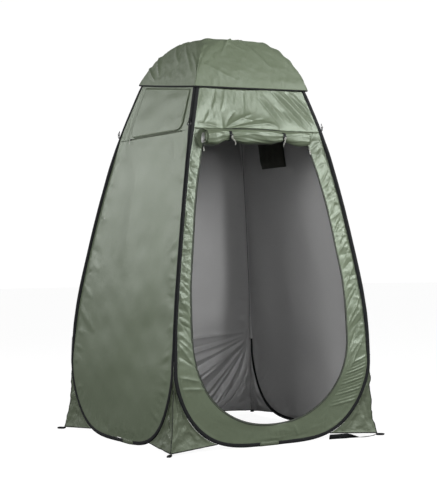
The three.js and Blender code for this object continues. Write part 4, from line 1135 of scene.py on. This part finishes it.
roll_u = np.linspace(-ROLL_HALF, ROLL_HALF, 131)[None]
wound = np.concatenate([np.linspace(0, 1.6, 112)[:-1], np.linspace(1.6, TURNS, 26 * TURNS)])[:, None]
roll_turn = math.pi * 0.42 - 2 * math.pi * wound
roll_share = 1 - 0.93 * wound / TURNS
telescoped = roll_u * (1 + 0.03 * np.sin(roll_share * 19) * (np.abs(roll_u) / ROLL_HALF) ** 2)
roll = roll_skin(telescoped + ROLL_CENTRE_U, roll_turn, roll_share)
lead = np.linspace(0, 1, 9)[:-1, None, None]
seam_u = roll_u[0] + ROLL_CENTRE_U
seam_out = header_folds(seam_u, SEAM_HEIGHT + 0 * seam_u, wall_reach(SEAM_HEIGHT) - np.abs(seam_u),
                        3.5 + 0 * seam_u)
seam_line = on_wall(seam_u, SEAM_HEIGHT + 0.002, seam_out + 0.0012)[None]
roll = np.concatenate([seam_line * (1 - lead) + roll[:1] * lead
                       + np.array([0, -0.004, 0.001]) * np.sin(lead * math.pi), roll], 0)
door = cloth_grid("door_cloth_rolled", roll[:, ::-1], [CREASED, SILVER], thickness=0.0006,
                  body=None, slot="shell_fabric", replaces=["door_roll"])
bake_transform(door)

for side, u0 in TIE_PLACES.items():
    turn = np.linspace(0, 2 * math.pi, 60, endpoint=False)
    line = roll_skin(u0 + 0 * turn, turn, out=0.0014)
    face = np.repeat(np.array([[1.0, 0, 0]]), len(line), 0)
    swept(f"tie_band_{side}", line, np.cross(ring_ahead(line), face), face,
          band(0.7, 6.6, 0.2, 7), [WEBBING], closed=True, body="door_roll", slot="webbing",
          replaces=[f"door_tie_{side}"])
    front = roll_skin(np.array(u0), np.array(0.25), out=0.0055)
    barrel = front + np.array([[x, 0, 0] for x in np.linspace(-0.009, 0.009, 9)])
    tube(f"toggle_{side}", barrel, 0.0038, [PLASTIC], sides=14, body="door_roll",
         scale=[0.55, 0.85, 0.97, 1, 0.82, 1, 0.97, 0.85, 0.55], slot="black_plastic",
         replaces=[f"tie_toggle_{side}"])
    knot = front + MM * np.array([[-2, -3, -5], [2, -5, -8], [4, -2, -11], [0, 0, -13], [-4, -3, -11],
                                  [-2, -6, -8], [3, -4, -6], [1, -2, -12]])
    tube(f"tie_knot_{side}", smooth_path(knot, 50), 0.0022, [CORD], sides=8, body="door_roll",
         slot="pull_cord")
    swing = 1 if side == "left" else -0.35
    tail = front + MM * np.array([[0, -1, -12], [swing * 6, -4, -20], [swing * 15, -4, -28],
                                  [swing * 20, -1, -37], [swing * 21, 1, -46]])
    tail = smooth_path(tail, 40)
    piece = tube(f"tie_tail_{side}", tail, 0.0020, [CORD], sides=10, body="door_roll",
                 slot="pull_cord")
    tail = leaned(tail)

# ---- Sliders and pulls --------------------------------------------------------------------------
SLIDER_HALF, SLIDER_LOW, SLIDER_HIGH = (0.0035, 0.0055), 0.0019, 0.0054
SLIDER_WIDTHS = [(-1, 0.55), (-0.92, 0.8), (-0.7, 0.98), (-0.2, 1), (0.3, 0.9), (0.7, 0.78),
                 (0.92, 0.66), (1, 0.45)]  # place along the slider, share of its width
PULL_HALF, PULL_LENGTH, PULL_THICK = 0.003, 0.024, 0.0016


def slider(name, centre, down, normal, quarter):
    """A slider on its tape and the pull that hangs from it."""
    across = np.cross(normal, down)
    middle = (SLIDER_LOW + SLIDER_HIGH) / 2
    tall = (SLIDER_HIGH - SLIDER_LOW) / 2
    outline = []
    for a in np.linspace(0, 2 * math.pi, 20, endpoint=False):
        c, s = math.cos(a), math.sin(a)
        outline.append([abs(c) ** 0.55 * np.sign(c), abs(s) ** 0.55 * np.sign(s) * tall])
    rings = []
    for t, w in SLIDER_WIDTHS:
        p = centre + down * t * SLIDER_HALF[1] + normal * middle
        rings.append([p + across * (o[0] * w * SLIDER_HALF[0]) + normal * o[1] * (0.7 + 0.3 * w)
                      for o in outline])
    rings = np.array(rings)
    lofted(f"{name}_body", turned(rings, quarter), [PLASTIC], np.zeros((rings[..., 0].size, 2)),
           body=f"{name}_slider", slot="black_plastic", replaces=[f"{name}_slider"])
    wide = unit(np.cross(normal, np.array([0, 0, -1.0])))
    hang = np.cross(wide, normal)
    start = centre + normal * (SLIDER_HIGH + 0.0004 + PULL_THICK / 2)
    t = np.linspace(0, 1, 22)
    line = start + hang * (t * PULL_LENGTH)[:, None]
    grow = np.interp(t, [0, 0.03, 0.12, 0.25, 0.4, 0.9, 0.97, 1],
                     [0.45, 0.62, 0.72, 0.8, 1, 1, 0.9, 0.7])
    section = np.array([[PULL_THICK / 2, x * PULL_HALF] for x in (-0.8, 0, 0.8)]
                       + [[0, PULL_HALF]] + [[-PULL_THICK / 2, x * PULL_HALF]
                                             for x in (0.8, 0, -0.8)] + [[0, -PULL_HALF]])
    rings = (line[:, None] + normal * section[None, :, :1]
             + wide * (section[None, :, 1:] * grow[:, None, None]))
    uv = np.stack(np.meshgrid(t * PULL_LENGTH, np.arange(len(section)) * 0.002, indexing="ij"),
                  -1).reshape(-1, 2)
    lofted(f"{name}_tab", turned(rings, quarter), [CORD], uv, body=f"{name}_pull",
           slot="pull_cord", replaces=[f"{name}_pull"])


for side, name in ((-1, "door_left"), (1, "door_right")):
    def tape_place(z):
        return on_wall(side * (float(read_curve(DOOR_PROFILE, z)) - 0.0034) + DOOR_SHIFT, z)
    down = unit(tape_place(1.342) - tape_place(1.382))
    normal = np.cross([1.0, 0, 0], down)
    normal = unit(normal if normal[1] < 0 else -normal)
    slider(name, tape_place(1.362), down, normal, 0)

# ---- Window: flap, netting, zip -----------------------------------------------------------------
FLAP_MIDDLE, FLAP_HALF, FLAP_BOTTOM, FLAP_LIFT = 0.025, 0.262, 1.445, 0.0020
ZIP_HEIGHT = 1.43925


def flap_half(z):
    return FLAP_HALF - 0.13 * (z - FLAP_BOTTOM)


def left_hem(u):
    """Height of the cap's hem above the left wall."""
    return (CAP_HEM[3] + CAP_HEM[2]) / 2 + (CAP_HEM[3] - CAP_HEM[2]) / 2 * u / 0.3


share = np.linspace(0, 1, 26)[:, None]
across = np.linspace(-1, 1, 61)[None]
bend = np.clip(1 - (1 - share / 0.22) ** 2, 0, 1)  # round corners at the bottom
rounding = np.where(share < 0.22, 0.045 * (1 - np.sqrt(bend)), 0)
flap_z = FLAP_BOTTOM + share * 0.190
flap_u = FLAP_MIDDLE + across * (flap_half(flap_z) - rounding)
flap_z = FLAP_BOTTOM + share * (left_hem(flap_u) - 0.014 - FLAP_BOTTOM)
edge_near = np.minimum(1 - np.abs(across), share) + 0 * flap_u
lift = FLAP_LIFT + 0.0022 + waves(flap_u, flap_z, 121, 0.14, 0.0014) * step(0, 0.2, edge_near)
lift = lift + puckers((1 - across) * 0.25 + 0 * flap_u, flap_z + 0 * flap_u, 9, 127, 0.03, 0.004,
                      0.08)
lift = FLAP_LIFT + np.maximum(lift - FLAP_LIFT, 0) * step(1.0, 0.72, share)
flap = on_wall(flap_u, flap_z) + wall_normal(flap_z) * lift[..., None]
piece = cloth_grid("window_flap_cloth", turned(flap, 3), [GREEN, SILVER], body="window_flap",
                   slot="shell_fabric", replaces=["window_flap"])
tube("window_flap_hem", turned(smooth_path(three_sides(flap), 130), 3), 0.0009, [GREEN], sides=6,
     body="window_flap", slot="shell_fabric")

net_u = np.linspace(-1, 1, 31)[None]
net_z = np.linspace(1.468, 1.652, 14)[:, None] + 0 * net_u
net = on_wall(net_u * wall_reach(net_z) * 0.70, net_z, -0.0024)
piece = cloth_grid("window_net", turned(net, 3), [NETTING], thickness=0.0005, slot="roof_netting",
                   replaces=["window_mesh"])
corners = [(-WINDOW_HALF, WINDOW_LOW), (WINDOW_HALF, WINDOW_LOW), (WINDOW_HALF, WINDOW_HIGH),
           (-WINDOW_HALF, WINDOW_HIGH)]
frame_line = np.vstack([np.linspace(corners[i], corners[(i + 1) % 4], 24)[:-1] for i in range(4)])
frame_line = on_wall(frame_line[:, 0], frame_line[:, 1], -0.0012)
frame_normal = wall_normal(frame_line[:, 2])
frame_side = np.cross(frame_normal, ring_ahead(frame_line))
swept("window_frame_tape", turned(frame_line, 3), turned(frame_side, 3), turned(frame_normal, 3),
      both_faces([[-6, 0.6], [6, 0.6]]), [TWILL], closed=True, slot="edge_binding")
zip_u = np.linspace(-FLAP_HALF, FLAP_HALF, 50) + FLAP_MIDDLE
window_zip = on_wall(zip_u, ZIP_HEIGHT, 0.0017)
zip_normal = wall_normal(window_zip[:, 2])
zip_side = np.repeat([[1.0, 0, 0]], len(zip_u), 0)
swept("window_zip_tape", turned(window_zip, 3), turned(np.cross(zip_side, zip_normal), 3),
      turned(zip_normal, 3), MM * np.array([[-3.2, 0.4], [-0.6, 0.5], [0, 1.0], [0.6, 0.5],
                                            [3.2, 0.4], [3.2, -0.4], [-3.2, -0.4]]),
      [WINDOW_TAPE], slot="zip_tape", replaces=["window_zip"])
slider("window", on_wall(FLAP_MIDDLE - FLAP_HALF + 0.014, ZIP_HEIGHT, 0.001), np.array([1.0, 0, 0]),
       wall_normal(ZIP_HEIGHT), 3)

# ---- Pocket and storage strap -------------------------------------------------------------------
POCKET_LOW, POCKET_HIGH, POCKET_FROM, POCKET_TO, POCKET_DEPTH = 1.308, 1.462, -0.020, 0.200, 0.020
pu = np.linspace(0, 1, 41)[None]
pz = np.linspace(0, 1, 31)[:, None]
bulge = (np.sin(pu * math.pi) ** 0.22) * (1 - (1 - np.clip(pz / 0.25, 0, 1)) ** 2.2)
inside = 0.0032 + (POCKET_DEPTH - 0.004) * bulge
flat_u = POCKET_FROM + pu * (POCKET_TO - POCKET_FROM) + 0 * pz
flat_z = POCKET_LOW + pz * (POCKET_HIGH - POCKET_LOW) - 0.012 * pz * np.sin(pu * math.pi)
inside = inside + bulge * (waves(flat_u, flat_z, 131, 0.07, 0.0016)
                           + crumple(flat_u, flat_z, 133, 0.05, 0.0022))
pocket = on_wall(flat_u, flat_z, -np.clip(inside, 0.0030, POCKET_DEPTH + 0.003))
piece = cloth_grid("pocket_cloth", turned(pocket[:, ::-1], 1), [POCKET], slot="pocket_fabric",
                   replaces=["storage_pocket"])
tube("pocket_hem", turned(smooth_path(pocket[-1], 60), 1), 0.0017, [TWILL], sides=8,
     slot="edge_binding")
tube("pocket_seam", turned(smooth_path(three_sides(pocket), 110), 1), 0.0013, [TWILL], sides=6,
     slot="edge_binding")

STRAP_ROUTE = MM * np.array([
    [543, -570, 7, 6], [515, -575, 4, 3], [480, -576, 2.2, 1.2], [440, -575, 3, 2],
    [410, -570, 8, 7], [380, -564, 12.6, 11.8], [330, -552, 12.6, 11.8], [292, -545, 12.6, 11.8]])
route = smooth_path(STRAP_ROUTE, 90)
strap_up = np.clip(route[:, 3] / 0.0125, 0, 0.96)
strap_at = route[:, :3]
strap_along = unit(np.gradient(strap_at, axis=0))
strap_across = np.stack([0 * strap_up, -np.sqrt(1 - strap_up ** 2), strap_up], -1)
strap_across = unit(strap_across - strap_along * (strap_across * strap_along).sum(
    -1, keepdims=True))
swept("strap_webbing", strap_at, np.cross(strap_along, strap_across), strap_across,
      band(0.9, 12.0, 0.4, 12.5), [WEBBING], slot="webbing", replaces=["storage_strap"])

# ---- Seam lines ---------------------------------------------------------------------------------
for side, name in ((-1, "left"), (1, "right")):
    inner = side * (float(read_curve(DOOR_PROFILE, SEAM_HEIGHT)) - 0.006) + DOOR_SHIFT
    outer = side * (float(wall_reach(SEAM_HEIGHT)) - 0.001)
    line = on_wall(np.linspace(inner, outer, 14), SEAM_HEIGHT + 0.0004, 0.0014)
    tube(f"header_seam_{name}", line, 0.0012, [CRUSHED], sides=6, slot="shell_fabric")

for low, high, name in ((-0.352, -0.242, "back"), (0.292, 0.352, "front")):
    line = on_wall(np.linspace(low, high, 12), ZIP_HEIGHT, 0.0012)
    tube(f"window_seam_{name}", turned(line, 3), 0.0010, [CRUSHED], sides=6, slot="shell_fabric")

# ---- Stage, light and camera --------------------------------------------------------------------
def stage_material(name, colour, glow):
    m = bpy.data.materials.new(name)
    m.use_nodes = True
    shader = m.node_tree.nodes["Principled BSDF"]
    shader.inputs["Base Color"].default_value = colour
    shader.inputs["Roughness"].default_value = 0.9
    shader.inputs["Specular IOR Level"].default_value = 0.1
    shader.inputs["Emission Color"].default_value = (1, 1, 1, 1)
    shader.inputs["Emission Strength"].default_value = glow
    return m


bpy.ops.mesh.primitive_plane_add(size=60, location=(0, 0, -0.0005))
floor = bpy.context.object
floor.name = "studio_floor"
floor.data.materials.append(stage_material("studio_floor", (0.16, 0.16, 0.16, 1), 0.93))
floor.visible_diffuse = floor.visible_glossy = False
bpy.ops.mesh.primitive_uv_sphere_add(segments=48, ring_count=24, radius=28, location=(0, 0, 0))
dome = bpy.context.object
dome.name = "studio_backdrop"
dome.data.materials.append(stage_material("studio_backdrop", (0, 0, 0, 1), 1.02))
dome.visible_diffuse = dome.visible_glossy = dome.visible_shadow = False

world = bpy.data.worlds.new("studio")
bpy.context.scene.world = world
world.use_nodes = True
tree = world.node_tree
where = add(tree, "TexCoord").outputs["Generated"]
split = add(tree, "SeparateXYZ", {"Vector": where})
ramp = add(tree, "ValToRGB", {"Fac": add(tree, "MapRange", {
    "Value": split.outputs["Z"], "From Min": -1.0, "From Max": 1.0}).outputs["Result"]})
ramp.color_ramp.elements[0].position, ramp.color_ramp.elements[0].color = 0.42, (0.06, 0.06, 0.06, 1)
ramp.color_ramp.elements[1].position, ramp.color_ramp.elements[1].color = 0.64, (0.9, 0.9, 0.9, 1)
high = ramp.color_ramp.elements.new(0.86)
high.color = (0.16, 0.16, 0.16, 1)
tree.links.new(ramp.outputs["Color"], tree.nodes["Background"].inputs["Color"])
tree.nodes["Background"].inputs["Strength"].default_value = 0.55


def light(name, place, target, power, kind="AREA", **settings):
    """A light at a place that points at a target."""
    data = bpy.data.lights.new(name, kind)
    data.energy = power
    for key, value in settings.items():
        setattr(data, key, value)
    lamp = bpy.data.objects.new(name, data)
    lamp.location = place
    lamp.rotation_euler = (Vector(target) - Vector(place)).to_track_quat("-Z", "Y").to_euler()
    bpy.context.scene.collection.objects.link(lamp)


light("key", (2.8, -3.6, 3.2), (0, -0.2, 1.35), 205, shape="DISK", size=1.9)
light("side", (-3.0, 4.4, 2.8), (-0.4, 0, 1.3), 70, shape="DISK", size=2.2)
light("fill", (-4.8, -2.4, 2.5), (0, 0, 1.1), 150, shape="DISK", size=2.0)
light("front", (-1.4, -6.6, 1.9), (0, 0.2, 1.0), 52, shape="DISK", size=1.6)
light("doorway", (0.6, -5.9, 1.0), (0.10, 0.55, 0.80), 560, "SPOT", spot_size=0.180,
      spot_blend=1.0, shadow_soft_size=0.25)

CAMERA_TURN, CAMERA_AWAY, CAMERA_HEIGHT = -0.532, 6.426, 0.887
CAMERA_ROLL, CAMERA_LENS, LOOK_RIGHT, LOOK_HEIGHT = -0.015, 95.3, 0.026, 0.904
eye = Vector((math.sin(CAMERA_TURN) * CAMERA_AWAY, -math.cos(CAMERA_TURN) * CAMERA_AWAY,
              CAMERA_HEIGHT))
target = Vector((math.cos(CAMERA_TURN) * LOOK_RIGHT, math.sin(CAMERA_TURN) * LOOK_RIGHT,
                 LOOK_HEIGHT))
ahead = (target - eye).normalized()
right = ahead.cross(Vector((0, 0, 1))).normalized()
up = right.cross(ahead)
c, s = math.cos(CAMERA_ROLL), math.sin(CAMERA_ROLL)
right, up = right * c + up * s, up * c - right * s
camera = bpy.data.cameras.new("camera")
camera.lens, camera.sensor_width = CAMERA_LENS, 36
camera.clip_end = 100
viewer = bpy.data.objects.new("camera", camera)
viewer.matrix_world = Matrix((
    (right.x, up.x, -ahead.x, eye.x), (right.y, up.y, -ahead.y, eye.y),
    (right.z, up.z, -ahead.z, eye.z), (0, 0, 0, 1)))
bpy.context.scene.collection.objects.link(viewer)
bpy.context.scene.camera = viewer
bpy.context.scene.view_settings.view_transform = "Standard"
bpy.context.scene.view_settings.look = "None"
